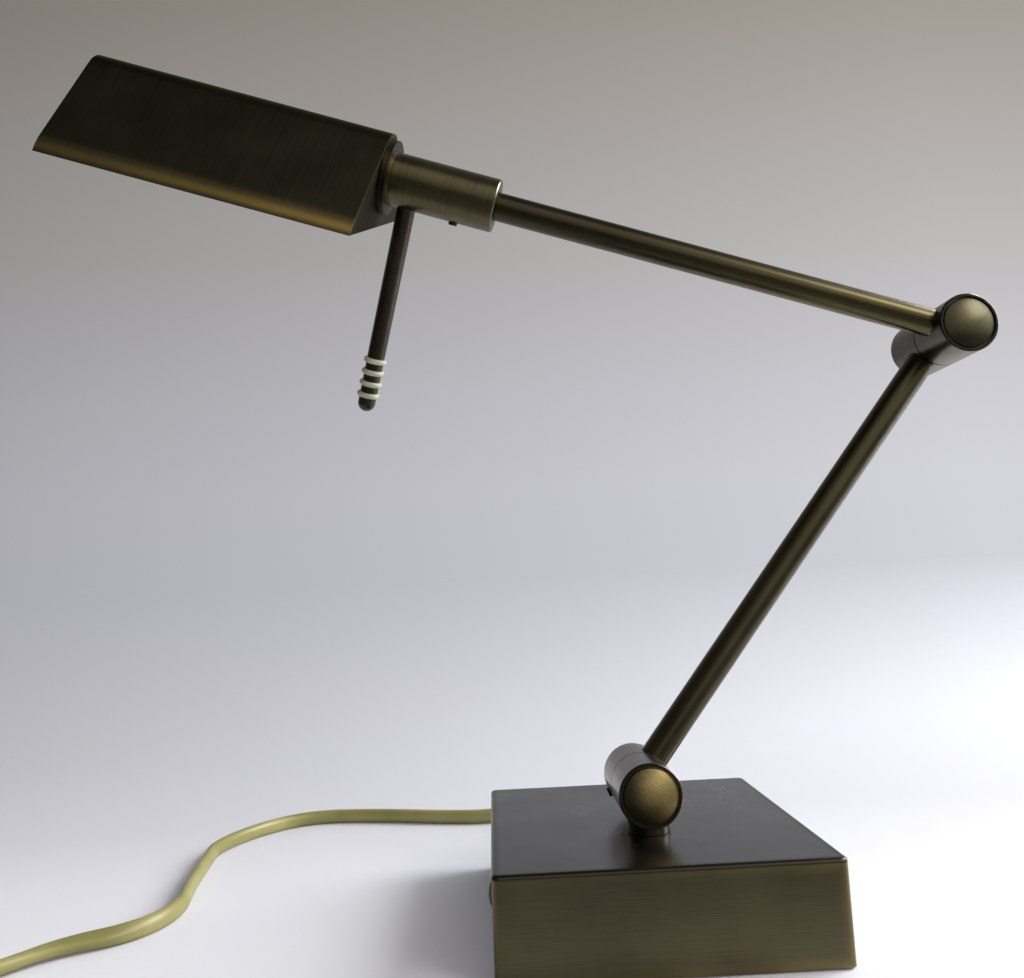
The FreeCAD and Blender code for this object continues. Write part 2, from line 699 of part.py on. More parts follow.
def elbow(prefix, at, held):
    """The bolt, nuts and washers that join two barrels. held is the side (-1 front, 1 rear) of
    the barrel that the bolt is fixed to; the other barrel turns on it."""
    web = "(elbow_gap / 2 + knuckle_length - recess_depth)"
    fixed = f"({web} + elbow_nut + seat_gap)"
    loose = f"({web} + face_gap + elbow_spring + elbow_nut + seat_gap)"
    keep(ring(f"{prefix}_pivot", at, "Y", "bolt_bore", "bolt_radius",
              f"{held} * ({fixed} + seat_gap)", f"{-held} * ({loose} + seat_gap)"))
    ends = (f"{held} * {fixed}", f"{-held} * {loose}")
    rear, front = (ends if held > 0 else ends[::-1])
    keep(hex_nuts(f"{prefix}_pivot_nuts", at, (rear, f"{front} + elbow_nut"), "elbow_nut"))
    keep(ring(f"{prefix}_spring_washer", at, "Y", "bolt_radius + seat_gap", "nut_across / 2",
              f"{-held} * ({web} + face_gap)", f"{-held} * ({web} + face_gap + elbow_spring)"))
    keep(ring(f"{prefix}_seam_washer", at, "Y", "bolt_radius + seat_gap", "seam_washer_radius",
              f"{held} * elbow_gap / 2", f"{held} * (elbow_gap / 2 - seam_washer)"))


def nipple(of, across, along, way):
    """A stepped threaded nipple from a barrel into its tube, added to the group of."""
    start = f"{along} + {way} * {NIPPLE_START}"
    for radius, first, last in (("nipple_radius", NIPPLE_START, "knuckle_radius + 1"),
                                (f"({TUBE_BORE} - seat_gap)", "knuckle_radius + seat_gap",
                                 "knuckle_radius + nipple_reach")):
        rounds = sketch(of, "XY", f"{along} + {way} * ({first})")
        circle(rounds, "0", across, radius)
        pad(of, rounds, f"{last} - ({first})", back=way < 0)
    bore = sketch(of, "XY", start)
    circle(bore, "0", across, "wire_radius")
    cut(of, bore, "knuckle_radius + nipple_reach", back=way > 0)


def saddle_cut(tube, across, along):
    """A barrel-shaped mouth in a tube's end, seat_gap from the barrel."""
    mouth = sketch(tube, "XZ", f"-({across})")
    circle(mouth, "0", along, "knuckle_radius + seat_gap")
    cut(tube, mouth, "2 * tube_radius + 2", midplane=True)


def arm_tube(name, at, across, end):
    """A drawn tube along the arm, from the first elbow's axis."""
    tube = body(name, at)
    face = sketch(tube, "XY")
    circle(face, "0", across, "tube_radius")
    circle(face, "0", across, TUBE_BORE)
    pad(tube, face, end)
    saddle_cut(tube, across, "0")
    return tube


def arm_lead(name, at, across, start, end):
    """The flexible lead inside an arm."""
    lead = body(name, at)
    face = sketch(lead, "XY", start)
    circle(face, "0", across, "arm_lead_radius")
    pad(lead, face, f"{end} - ({start})")
    return keep(lead)


# ---------------------------------------------------------------------------- arms
def lower_elbow_and_arm():
    """The lower elbow and the arm behind its seam, up to the upper elbow's rear barrel."""
    still = frame("LowerElbow", ("0", SEAM_Y, "knuckle_height")).Name
    lean = ((0, 1, 0), "lower_lean")
    arm = frame("LowerArm", ("0", SEAM_Y, "knuckle_height"), lean).Name
    top = frame("LowerArmTop", ("0", "0", "lower_arm_length"), parent=arm).Name
    keep(knuckle("lower_front_knuckle", still, -1, FRONT_HOLE, -1))
    keep(knuckle_cap("lower_front_cap", still, -1))
    elbow("lower", still, -1)
    rear = knuckle("lower_rear_knuckle", arm, 1, REAR_HOLE, 1)
    screw_foot = "(knuckle_radius + lock_screw_proud - lock_screw_length)"
    along = "(elbow_gap / 2 + lock_screw_offset)"
    tapped = sketch(rear, "XY", f"{screw_foot} - seat_gap", spin="-lock_screw_angle")
    circle(tapped, "0", along, "lock_screw_radius + seat_gap")
    cut(rear, tapped, "lock_screw_length", back=True)
    keep(rear)
    keep(knuckle_cap("lower_rear_cap", arm, 1))
    tilt = ((0, 1, 0), "-lock_screw_angle")
    radial = frame("LockScrewPlace", ("0", along, "0"), tilt, parent=arm).Name
    keep(ring("lower_lock_screw", radial, "Z", "0", "lock_screw_radius",
              screw_foot, f"{screw_foot} + lock_screw_length"))
    tube = arm_tube("lower_arm_tube", arm, REAR_HOLE, "lower_arm_length")
    saddle_cut(tube, REAR_HOLE, "lower_arm_length")
    keep(tube)
    nipples = body("lower_arm_nipples", arm, several=True)
    nipple(nipples, REAR_HOLE, "0", 1)
    nipple(nipples, REAR_HOLE, "lower_arm_length", -1)
    keep(nipples)
    arm_lead("lower_arm_lead", arm, REAR_HOLE, NIPPLE_START, f"lower_arm_length - {NIPPLE_START}")
    keep(knuckle("upper_rear_knuckle", top, 1, REAR_HOLE, -1))
    keep(knuckle_cap("upper_rear_cap", top, 1))
    elbow("upper", top, 1)


def upper_arm():
    """The upper elbow's front barrel, its tube, and the bush that the head turns on."""
    rise = ((0, 1, 0), "(upper_rise - 90)")
    place = ("lower_arm_length * sin(lower_lean)", SEAM_Y,
             "knuckle_height + lower_arm_length * cos(lower_lean)")
    arm = frame("UpperArm", place, rise).Name
    axis = frame("HeadAxis", ("0", FRONT_HOLE, "0"), parent=arm).Name
    keep(knuckle("upper_front_knuckle", arm, -1, FRONT_HOLE, 1))
    keep(knuckle_cap("upper_front_cap", arm, -1))
    end = f"({BUSH_START} + bush_length)"
    keep(arm_tube("upper_arm_tube", arm, FRONT_HOLE, end))
    inner = body("upper_arm_nipple", arm)
    nipple(inner, FRONT_HOLE, "0", 1)
    keep(inner)
    arm_lead("upper_arm_lead", arm, FRONT_HOLE, NIPPLE_START, end)
    groove = "(sleeve_start + keeper_place)"
    low, high = (f"{groove} {sign} (keeper_radius + face_gap)" for sign in "-+")
    bottom = f"({BUSH_RADIUS} - keeper_depth)"
    keep(turned("arm_end_bush", axis, "Z", [
        ("tube_radius + seat_gap", BUSH_START), (BUSH_RADIUS, BUSH_START), (BUSH_RADIUS, low),
        (bottom, low), (bottom, high), (BUSH_RADIUS, high), (BUSH_RADIUS, end),
        ("tube_radius + seat_gap", end),
    ]))


# ---------------------------------------------------------------------------- head
def shade_outline(drawing, inset, skirt="0"):
    """The roof-shaped section, x up and y across, inset from the sheet's outside. Each panel
    runs from the round crown to a gently curved lip; skirt lowers the closing line."""
    slope, end = "panel_slope", "(panel_slope + lip_angle)"
    centre = "(crown_height - crown_radius)"
    bend = f"(shade_half_width + lip_radius * (sin({slope}) - sin({end})))"
    run = f"(({bend} - crown_radius * sin({slope})) / cos({slope}))"
    bend_up = f"({centre} + crown_radius * cos({slope}) - {run} * sin({slope}))"
    hub, hub_up = f"({bend} - lip_radius * sin({slope}))", f"({bend_up} - lip_radius * cos({slope}))"
    crown, lip = f"(crown_radius - {inset})", f"(lip_radius - {inset})"
    half = [
        (f"{hub_up} + {lip} * cos({end})", f"{hub} + {lip} * sin({end})"),
        (f"{hub_up} + {lip} * cos({slope})", f"{hub} + {lip} * sin({slope})"),
        (f"{centre} + {crown} * cos({slope})", f"{crown} * sin({slope})"),
    ]
    front = [(x, f"-({y})") for x, y in half]
    points = front + half[::-1]
    arcs = {0: lip, 2: crown, 4: lip}
    if skirt != "0":
        low = f"{half[0][0]} - {skirt}"
        points += [(low, half[0][1]), (low, front[0][1])]
    outline(drawing, points, arcs)
    return f"{hub_up} + lip_radius * cos({end})"


def shade_piece(name, at, inset, start, length, lift="0"):
    """A solid of the shade's section, its underside trimmed level with the sheet's edge."""
    made = body(name, at)
    face = sketch(made, "XY", start)
    edge = shade_outline(face, inset)
    pad(made, face, length)
    if inset != "0":
        under = sketch(made, "XY", start)
        rectangle(under, f"{edge} - lip_radius", "-shade_half_width",
                  f"{edge} + {lift}", "shade_half_width")
        cut(made, under, length, back=True)
    return made


def hollow(of, start, length, inset):
    """Opens a shade piece from below, leaving its sheet."""
    inside = sketch(of, "XY", start)
    shade_outline(inside, inset, "lip_radius")
    cut(of, inside, length, back=True)


def head():
    """Everything that turns about the upper arm: sleeve, flange, shade, lamp and handle."""
    roll = ((0, 0, 1), "-shade_roll")
    place = frame("Head", ("0", FRONT_HOLE, "0"), roll, parent="UpperArm").Name
    twist = frame("HandleTurn", ("0", "0", "0"), ((0, 0, 1), "handle_twist"), parent=place).Name
    keeper = "(sleeve_start + keeper_place)"

    sleeve = turned("sleeve", twist, "Z", [
        ("tube_radius + free_gap", "sleeve_start"), ("sleeve_radius - sleeve_chamfer", "sleeve_start"),
        ("sleeve_radius", "sleeve_start + sleeve_chamfer"), ("sleeve_radius", SLEEVE_END),
        (SLEEVE_BORE, SLEEVE_END), (SLEEVE_BORE, "sleeve_start + sleeve_lip"),
        ("tube_radius + free_gap", "sleeve_start + sleeve_lip"),
    ])
    for along, radius in ((keeper, "keeper_radius"), (HANDLE_PLACE, "handle_radius")):
        hole = sketch(sleeve, "YZ")
        circle(hole, "0", along, f"{radius} + seat_gap")
        cut(sleeve, hole, "sleeve_radius + 1")
    keep(sleeve)

    def radial(name, along, points, arcs=None):
        """A turned piece that points away from the arm, on the handle's side."""
        side = frame(name + "_place", ("0", "0", along), ((0, 1, 0), "-90"), parent=twist).Name
        return keep(turned(name, side, "Z", points, arcs))

    foot = f"({BUSH_RADIUS} - keeper_depth + face_gap)"
    radial("keeper_screw", keeper, [
        ("0", foot), ("keeper_radius", foot), ("keeper_radius", "sleeve_radius + keeper_proud"),
        ("0", "sleeve_radius + keeper_proud"),
    ])

    core = turned("sleeve_core", twist, "Z", [
        ("wire_radius", CORE_START), (f"{SLEEVE_BORE} - seat_gap", CORE_START),
        (f"{SLEEVE_BORE} - seat_gap", SLEEVE_END), ("bolt_radius", SLEEVE_END),
        ("bolt_radius", f"{SLEEVE_END} + head_nipple_length"),
        ("wire_radius", f"{SLEEVE_END} + head_nipple_length"),
    ])
    socket = sketch(core, "YZ", "-(handle_root - seat_gap)")
    circle(socket, "0", HANDLE_PLACE, "handle_radius + seat_gap")
    cut(core, socket, "sleeve_radius")
    keep(core)

    keep(ring("flange_disc", place, "Z", "bolt_radius + seat_gap", "flange_radius",
              f"{SLEEVE_END} + seat_gap", f"{SHADE_START} - seat_gap"))
    nut = body("head_nut", place)
    face = sketch(nut, "XY", f"{PLATE_START} + end_plate")
    hexagon(face, "nut_across")
    circle(face, "0", "0", "bolt_radius + seat_gap")
    pad(nut, face, "head_nut")
    keep(nut)

    shell = shade_piece("shade_shell", place, "0", SHADE_START, "shade_length")
    hollow(shell, f"{SHADE_START} - 1", "shade_length + 2", "sheet")
    keep(shell)
    far_plate = f"({SHADE_START} + shade_length - end_plate_sink - end_plate)"
    near = shade_piece("right_end_plate", place, "(sheet + seat_gap)", PLATE_START, "end_plate")
    hole = sketch(near, "XY", f"{PLATE_START} - 1")
    circle(hole, "0", "0", "bolt_radius + seat_gap")
    cut(near, hole, "end_plate + 2", back=True)
    keep(near)
    keep(shade_piece("left_end_plate", place, "(sheet + seat_gap)", far_plate, "end_plate"))
    start = f"({PLATE_START} + end_plate + reflector_margin)"
    length = f"({far_plate} - {start} - reflector_margin)"
    mirror = shade_piece("reflector", place, "reflector_inset", start, length, "reflector_rise")
    hollow(mirror, f"{start} - 1", f"{length} + 2", "(reflector_inset + reflector_sheet)")
    keep(mirror)

    front = f"({HOLDER_START} + holder_length)"
    keep(turned("lamp_holder", place, "Z", [
        ("bolt_radius + seat_gap", HOLDER_START), ("holder_radius", HOLDER_START),
        ("holder_radius", front), ("capsule_foot_radius + seat_gap", front),
        ("capsule_foot_radius + seat_gap", f"{front} - capsule_foot"),
        ("0", f"{front} - capsule_foot"), ("0", f"{HOLDER_START} + holder_cup + holder_floor"),
        ("bolt_radius + seat_gap", f"{HOLDER_START} + holder_cup + holder_floor"),
    ]))
    tip = f"({front} + seat_gap + capsule_length)"
    keep(turned("lamp_capsule", place, "Z", [
        ("0", f"{front} - capsule_foot + seat_gap"),
        ("capsule_foot_radius", f"{front} - capsule_foot + seat_gap"),
        ("capsule_foot_radius", f"{front} + seat_gap"),
        ("capsule_radius", f"{front} + seat_gap + capsule_shoulder"),
        ("capsule_radius", f"{tip} - capsule_radius"), ("0", tip),
    ], {4: "capsule_radius"}))

    groove = "(handle_radius - ring_groove)"
    rod = [("0", "handle_root"), ("handle_radius", "handle_root")]
    centres = [f"(handle_length - ring_first - {i} * ring_pitch)"
               for i in reversed(range(SIZES["ring_count"]))]
    for centre in centres:
        low, high = (f"{centre} {sign} (ring_radius + seat_gap)" for sign in "-+")
        rod += [("handle_radius", low), (groove, low), (groove, high), ("handle_radius", high)]
    rod += [("handle_radius", "handle_length - handle_radius"), ("0", "handle_length")]
    radial("handle_rod", HANDLE_PLACE, rod, {len(rod) - 2: "handle_radius"})

    side = frame("grip_place", ("0", "0", HANDLE_PLACE), ((0, 1, 0), "-90"), parent=twist).Name
    rings = body("grip_rings", side, several=True)
    sections = sketch(rings, "XZ")
    for centre in centres:
        circle(sections, f"{groove} + ring_radius + seat_gap / 2", centre, "ring_radius")
    turn(rings, sections, "V_Axis")
    keep(rings)


# ---------------------------------------------------------------------------- cord, coil and plug
# The cord's way over the table, from the gland's tip to its last run before the coil.
CORD_ROUTE = [
    (0.0, 70.0, 17.8), (0.0, 84.5, 17.0), (-5.8, 99.3, 13.2), (-18.1, 110.2, 8.4),
    (-35.8, 114.5, 4.4), (-53.9, 111.9, 3.0), (-78.0, 117.0, 3.0), (-106.0, 124.6, 3.0),
    (-135.5, 128.1, 3.0), (-157.4, 112.5, 3.0), (-167.0, 90.7, 3.0), (-168.2, 66.7, 3.0),
    (-161.3, 40.5, 3.0), (-159.8, 16.2, 3.0), (-168.3, -0.8, 3.0), (-184.3, -11.1, 3.0),
]


def cord_path():
    """Straight runs joined by tangent arcs, from the gland's tip to the coil's stub."""
    heading = math.radians(size("coil_heading"))
    way = V(math.cos(heading), math.sin(heading), 0)
    outwards = V(-way.y, way.x, 0)
    middle = V(size("coil_x"), size("coil_y"), size("cord_radius"))
    end = middle + outwards * size("coil_turn_out") - way * size("coil_stub")
    start = V(0, size(GLAND_TIP), size(GLAND_Z))
    route = [start] + [V(*point) for point in CORD_ROUTE[1:]] + [end - way * size("last_run"), end]
    edges, radii, at = [], [], start
    for before, corner, after in zip(route, route[1:], route[2:]):
        a, b = corner - before, after - corner
        half = a.getAngle(b) / 2
        back = 0.45 * min(a.Length, b.Length)
        radii.append(back / math.tan(half))
        a.normalize()
        b.normalize()
        inward = (b - a).normalize()
        centre = corner + inward * (back / math.sin(half))
        first, last = corner - a * back, corner + b * back
        edges.append(Part.LineSegment(at, first).toShape())
        edges.append(Part.Arc(first, centre - inward * radii[-1], last).toShape())
        at = last
    edges.append(Part.LineSegment(at, end).toShape())
    return Part.Wire(edges), radii


def cord_and_plug():
    """The free cord as a plain tube, the coil of its spare length, and a two-pin plug."""
    radius = size("cord_radius")
    path, radii = cord_path()
    print("cord arcs, mm:", [round(r, 1) for r in radii])
    first = path.Edges[0]
    mouth = Part.Circle(path.Vertexes[0].Point, first.tangentAt(first.FirstParameter), radius)
    section = Part.Wire(mouth.toShape())
    tube = path.makePipeShell([section], True, False)
    expected = math.pi * radius**2 * path.Length
    print("cord tube length, mm:", round(path.Length, 1), "volume share:", round(tube.Volume / expected, 5))
    cord = doc.addObject("Part::Feature", "mains_cord")
    cord.Label = "mains_cord"
    cord.Shape = tube
    keep(cord)

    middle = frame("CoilPlace", ("coil_x", "coil_y", "coil_lift")).Name
    inner, outer = "(coil_turn_in - cord_radius)", "(coil_turn_out + cord_radius)"
    turns = ring("coil_turns", middle, "Z", inner, outer, "0", "coil_height")
    parts = [turns]
    for name, heading, length, height in (("coil_stub_in", "coil_heading", "-coil_stub", "cord_radius"),
                                          ("coil_stub_out", "tail_heading", "0", "plug_height / 2")):
        stub = doc.addObject("Part::Cylinder", name)
        stub.setExpression("Radius", bound("cord_radius"))
        stub.setExpression("Height", bound("coil_stub"))
        flat = frame(name + "_place", ("coil_x", "coil_y", height), ((0, 0, 1), heading)).Name
        lying = placement(length, "coil_turn_out", "0", (0, 1, 0), "90")
        stub.setExpression("Placement", bound(f"{flat}.Placement * {lying}"))
        parts.append(stub)
    coil = doc.addObject("Part::MultiFuse", "cord_coil")
    coil.Label = "cord_coil"
    coil.Shapes = parts
    keep(coil)

    tail = frame("PlugPlace", ("coil_x", "coil_y", "0"), ((0, 0, 1), "tail_heading")).Name
    start = "(coil_stub + seat_gap)"
    plug = body("plug_body", tail)
    box = sketch(plug, "YZ", f"{start} + plug_relief")
    left, right = "(coil_turn_out - plug_width / 2)", "(coil_turn_out + plug_width / 2)"
    rectangle(box, left, "0", right, "plug_height")
    block = pad(plug, box, "plug_length")
    doc.recompute()
    corners = plug.newObject("PartDesign::Fillet", "plug_corners")
    tall = [f"Edge{i + 1}" for i, e in enumerate(block.Shape.Edges)
            if e.BoundBox.ZLength > size("plug_height / 2")]
    corners.Base = (block, tall)
    corners.setExpression("Radius", bound("plug_corner"))
    neck = sketch(plug, "XY", "plug_height / 2")
    outline(neck, [
        (start, "coil_turn_out"), (start, "coil_turn_out + cord_radius"),
        (f"{start} + plug_relief + plug_corner", "coil_turn_out + plug_relief_radius"),
        (f"{start} + plug_relief + plug_corner", "coil_turn_out"),
    ])
    relief = plug.newObject("PartDesign::Revolution", "plug_relief_turn")
    relief.Profile = neck
    doc.recompute()
    relief.ReferenceAxis = (neck, ["Edge4"])
    relief.Angle = 360
    keep(plug)
    pins = body("plug_pins", tail, several=True)
    rounds = sketch(pins, "YZ", f"{start} + plug_relief + plug_length + seat_gap")
    for side in (-1, 1):
        circle(rounds, f"coil_turn_out + {side} * pin_spacing / 2", "plug_height / 2", "pin_radius")
    pad(pins, rounds, "pin_length")
    keep(pins)


# ---------------------------------------------------------------------------- build, check, write
for make in (base_shell, bottom_plate, plate_screws, base_felt, ballast_block):
    keep(make())
switch()
cord_entry()
post()
lower_elbow_and_arm()
upper_arm()
head()
cord_and_plug()
doc.recompute()

faults = [o.Name for o in doc.Objects if "Invalid" in o.State or "Error" in o.State]
for label, piece in nodes.items():
    shape = piece.Shape
    if shape.isNull() or not shape.isValid() or shape.Volume <= 0 or not shape.Solids:
        faults.append(label)
if faults:
    raise ValueError(f"failed: {faults}")

os.makedirs("parts", exist_ok=True)
for label, piece in nodes.items():
    piece.Shape.exportStep(f"parts/{label}.step")
    box = piece.Shape.BoundBox
    print(f"{label:22s} {len(piece.Shape.Solids)} x[{box.XMin:.1f},{box.XMax:.1f}]"
          f" y[{box.YMin:.1f},{box.YMax:.1f}] z[{box.ZMin:.1f},{box.ZMax:.1f}] {piece.Shape.Volume:.0f}")
print(len(nodes), "nodes")
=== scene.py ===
"""Piano lamp in antique bronze: the finishes of its plated pieces, its mains cord and its plug."""

import json

import bpy
import numpy as np
from mathutils import Matrix, Vector

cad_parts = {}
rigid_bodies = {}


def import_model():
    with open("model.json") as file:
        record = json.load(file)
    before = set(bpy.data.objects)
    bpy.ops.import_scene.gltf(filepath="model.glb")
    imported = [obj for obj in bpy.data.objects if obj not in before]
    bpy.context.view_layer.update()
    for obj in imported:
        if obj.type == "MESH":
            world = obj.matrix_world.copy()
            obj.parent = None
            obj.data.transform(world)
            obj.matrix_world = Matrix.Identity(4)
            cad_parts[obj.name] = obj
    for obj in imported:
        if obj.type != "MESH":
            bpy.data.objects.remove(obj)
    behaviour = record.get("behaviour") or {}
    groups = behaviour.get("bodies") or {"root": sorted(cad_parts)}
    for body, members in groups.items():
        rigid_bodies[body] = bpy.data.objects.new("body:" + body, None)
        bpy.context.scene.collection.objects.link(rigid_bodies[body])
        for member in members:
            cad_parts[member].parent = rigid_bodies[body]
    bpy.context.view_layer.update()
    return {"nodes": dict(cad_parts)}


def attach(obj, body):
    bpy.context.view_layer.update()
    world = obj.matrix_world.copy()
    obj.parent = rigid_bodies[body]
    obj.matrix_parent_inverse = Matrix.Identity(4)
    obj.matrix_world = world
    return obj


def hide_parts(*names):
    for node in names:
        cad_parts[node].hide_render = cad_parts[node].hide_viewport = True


for spare in list(bpy.data.objects):
    bpy.data.objects.remove(spare)
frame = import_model()
nodes = frame["nodes"]

# ---- Camera ---------------------------------------------------------------------------------
# A short lens close in front of the lamp, a little above the base and tilted slightly up.
EYE = Vector((-0.04666, -0.28886, 0.10784))
YAW, PITCH, ROLL = -0.0298, 0.1191, 0.0435
heading = Matrix.Rotation(YAW, 3, "Z") @ Matrix.Rotation(PITCH, 3, "X") @ Matrix.Rotation(ROLL, 3, "Y")
right, ahead, up = (heading.col[i] for i in range(3))
lens = bpy.data.cameras.new("camera")
lens.sensor_width = 36.0
lens.lens = 29.13
lens.clip_start = 0.01
camera = bpy.data.objects.new("camera", lens)
camera.matrix_world = Matrix.Translation(EYE) @ Matrix((right, up, -ahead)).transposed().to_4x4()
bpy.context.scene.collection.objects.link(camera)
bpy.context.scene.camera = camera
bpy.context.scene.view_settings.view_transform = "Standard"

# ---- Table, backdrop and light --------------------------------------------------------------
# A white sheet under the lamp that curves up behind it, a window at the right and behind, a smaller
# one at the right and in front, and a dim room, brightest above eye level and dark at its left.
CURVE_START, CURVE_RADIUS, WALL_TOP, REACH = 0.30, 0.25, 2.4, 4.0
bend = np.linspace(0, np.pi / 2, 25)
profile = np.vstack([
    [(-REACH, 0)],
    np.column_stack([CURVE_START + CURVE_RADIUS * np.sin(bend), CURVE_RADIUS * (1 - np.cos(bend))]),
    [(CURVE_START + CURVE_RADIUS, WALL_TOP)],
])
left_and_right = np.tile([-REACH, REACH], len(profile))
points = np.column_stack([left_and_right, np.repeat(profile, 2, axis=0)])
quads = 2 * np.arange(len(profile) - 1)[:, None] + [0, 1, 3, 2]
sweep = bpy.data.meshes.new("backdrop")
sweep.from_pydata(points.tolist(), [], quads.tolist())
sweep.shade_smooth()
backdrop = bpy.data.objects.new("backdrop", sweep)
bpy.context.scene.collection.objects.link(backdrop)


def add(tree, kind, inputs=None, **settings):
    """A shader node with its settings. An input, by name or number, is given a value, linked to a
    socket, or linked to the first output of a node."""
    made = tree.nodes.new(kind)
    for name, value in settings.items():
        setattr(made, name, value)
    for name, value in (inputs or {}).items():
        if isinstance(value, bpy.types.Node):
            value = value.outputs[0]
        if isinstance(value, bpy.types.NodeSocket):
            tree.links.new(value, made.inputs[name])
        else:
            made.inputs[name].default_value = value
    return made


def new_material(name):
    """An empty node material with its tree."""
    made = bpy.data.materials.new(name)
    made.use_nodes = True
    made.node_tree.nodes.clear()
    return made, made.node_tree


def surface_place(tree):
    """Where each point of a surface lies, in metres."""
    return add(tree, "ShaderNodeTexCoord").outputs["Object"]


def remap(tree, value, start, end, low=0.0, high=1.0, curve="LINEAR"):
    """A value carried from start and end to low and high, and held past them."""
    return add(tree, "ShaderNodeMapRange", {
        "Value": value, "From Min": start, "From Max": end, "To Min": low, "To Max": high},
        interpolation_type=curve).outputs[0]


def ramp(tree, value, stops):
    """A colour ramp through (place, colour) stops, where a single number is a grey."""
    made = add(tree, "ShaderNodeValToRGB", {"Fac": value})
    elements = made.color_ramp.elements
    while len(elements) < len(stops):
        elements.new(0.5)
    for element, (place, colour) in zip(elements, stops):
        element.position = place
        element.color = (*np.broadcast_to(colour, 3), 1)
    return made.outputs["Color"]


def fold(tree, operation, *values):
    """Values put together one after another by a maths operation."""
    result = values[0]
    for value in values[1:]:
        result = add(tree, "ShaderNodeMath", {0: result, 1: value}, operation=operation).outputs[0]
    return result


paper, tree = new_material("backdrop_paper")
sideways, depth, height = add(tree, "ShaderNodeSeparateXYZ", {"Vector": surface_place(tree)}).outputs
rays = add(tree, "ShaderNodeLightPath").outputs
mirrored = rays["Is Glossy Ray"]
# The wall glows with painted light and shade: darker towards the top and brighter towards the window.
wall_painted_light = ramp(tree, remap(tree, height, 0.0, 0.75), [
    (0.0, (0.53, 0.535, 0.60)), (0.28, (0.54, 0.54, 0.58)), (0.42, (0.50, 0.495, 0.53)),
    (0.60, (0.425, 0.41, 0.41)), (1.0, (0.30, 0.27, 0.24))])
towards_window = remap(tree, sideways, -0.56, 0.45, 0.74, 1.22)
lit = add(tree, "ShaderNodeVectorMath", {0: wall_painted_light, 1: towards_window}, operation="MULTIPLY")
wall = add(tree, "ShaderNodeEmission", {"Color": lit, "Strength": remap(tree, mirrored, 0.0, 1.0, 1.0, 0.7)})
# The table is painted lighter at the front than at the back, and in reflections it is painted darker in front
# of the lamp: painted light and shade.
back = remap(tree, depth, -0.34, 0.30)
floor_painted_light = ramp(tree, back, [
    (0.48, (0.79, 0.80, 0.86)), (0.72, (0.60, 0.61, 0.66)), (1.0, (0.56, 0.57, 0.62))])
mirrored_floor_painted_shade = ramp(tree, back, [(0.0, 0.16), (0.30, 0.20), (0.37, 0.30), (0.45, 0.62)])
seen_paper = add(tree, "ShaderNodeBsdfDiffuse", {"Color": floor_painted_light})
lift = add(tree, "ShaderNodeEmission", {"Color": (0.02, 0.02, 0.03, 1), "Strength": 1.0})
seen_table = add(tree, "ShaderNodeAddShader", {0: seen_paper, 1: lift})
mirrored_table = add(tree, "ShaderNodeBsdfDiffuse", {"Color": mirrored_floor_painted_shade})
table = add(tree, "ShaderNodeMixShader", {0: mirrored, 1: seen_table, 2: mirrored_table})
rising = remap(tree, height, 0.0, 0.12)
sheet = add(tree, "ShaderNodeMixShader", {0: rising, 1: table, 2: wall})
paper_white = add(tree, "ShaderNodeBsdfDiffuse", {"Color": (0.79, 0.80, 0.85, 1)})
looked_at = fold(tree, "MAXIMUM", rays["Is Camera Ray"], mirrored)
front_side = add(tree, "ShaderNodeMixShader", {0: looked_at, 1: paper_white, 2: sheet})
clear = add(tree, "ShaderNodeBsdfTransparent")
behind = add(tree, "ShaderNodeNewGeometry").outputs["Backfacing"]
one_sided = add(tree, "ShaderNodeMixShader", {0: behind, 1: front_side, 2: clear})
add(tree, "ShaderNodeOutputMaterial", {"Surface": one_sided})
backdrop.data.materials.append(paper)

world = bpy.data.worlds.new("studio")
bpy.context.scene.world = world
world.use_nodes = True
tree = world.node_tree
tree.nodes.clear()
direction = add(tree, "ShaderNodeTexCoord").outputs["Generated"]
east, _, rise = add(tree, "ShaderNodeSeparateXYZ", {"Vector": direction}).outputs
room_tone = ramp(tree, remap(tree, rise, -1.0, 1.0), [
    (0.41, (0.60, 0.56, 0.49)), (0.50, (0.66, 0.62, 0.54)), (0.59, (0.72, 0.67, 0.58)),
    (0.77, (0.92, 0.86, 0.75)), (0.85, (0.88, 0.82, 0.72)), (0.895, (0.60, 0.56, 0.49)),
    (0.92, (0.16, 0.15, 0.14)), (0.95, (0.06, 0.06, 0.055)), (1.0, (0.12, 0.12, 0.11))])
left_shade = ramp(tree, remap(tree, east, -1.0, 1.0), [
    (0.0, 0.10), (0.20, 0.14), (0.28, 0.24), (0.37, 0.45), (0.46, 0.78), (0.65, 1.0)])
room_light = add(tree, "ShaderNodeVectorMath", {0: room_tone, 1: left_shade}, operation="MULTIPLY")
room = add(tree, "ShaderNodeBackground", {"Color": room_light, "Strength": 1.0})
plain = add(tree, "ShaderNodeBackground", {"Color": (0.86, 0.86, 0.88, 1), "Strength": 1.0})
seen = add(tree, "ShaderNodeLightPath").outputs["Is Camera Ray"]
mixed = add(tree, "ShaderNodeMixShader", {0: seen, 1: room, 2: plain})
add(tree, "ShaderNodeOutputWorld", {"Surface": mixed})


def soft_lamp(name, place, aim, size, power, colour):
    """A soft rectangular lamp at a place, facing a point."""
    data = bpy.data.lights.new(name, "AREA")
    data.shape = "RECTANGLE"
    data.size, data.size_y = size
    data.energy = power
    data.color = colour
    lamp = bpy.data.objects.new(name, data)
    lamp.rotation_mode = "QUATERNION"
    lamp.location = place
    lamp.rotation_quaternion = (Vector(aim) - Vector(place)).to_track_quat("-Z", "Y")
    bpy.context.scene.collection.objects.link(lamp)


soft_lamp("side_window", (1.17, 0.31, 0.78), (0.0, 0.0, 0.05), (0.9, 0.8), 32.0, (1.0, 1.0, 1.0))
soft_lamp("near_window", (1.03, -0.86, 0.97), (0.0, 0.0, 0.1), (0.62, 0.62), 6.0, (1.0, 0.97, 0.90))
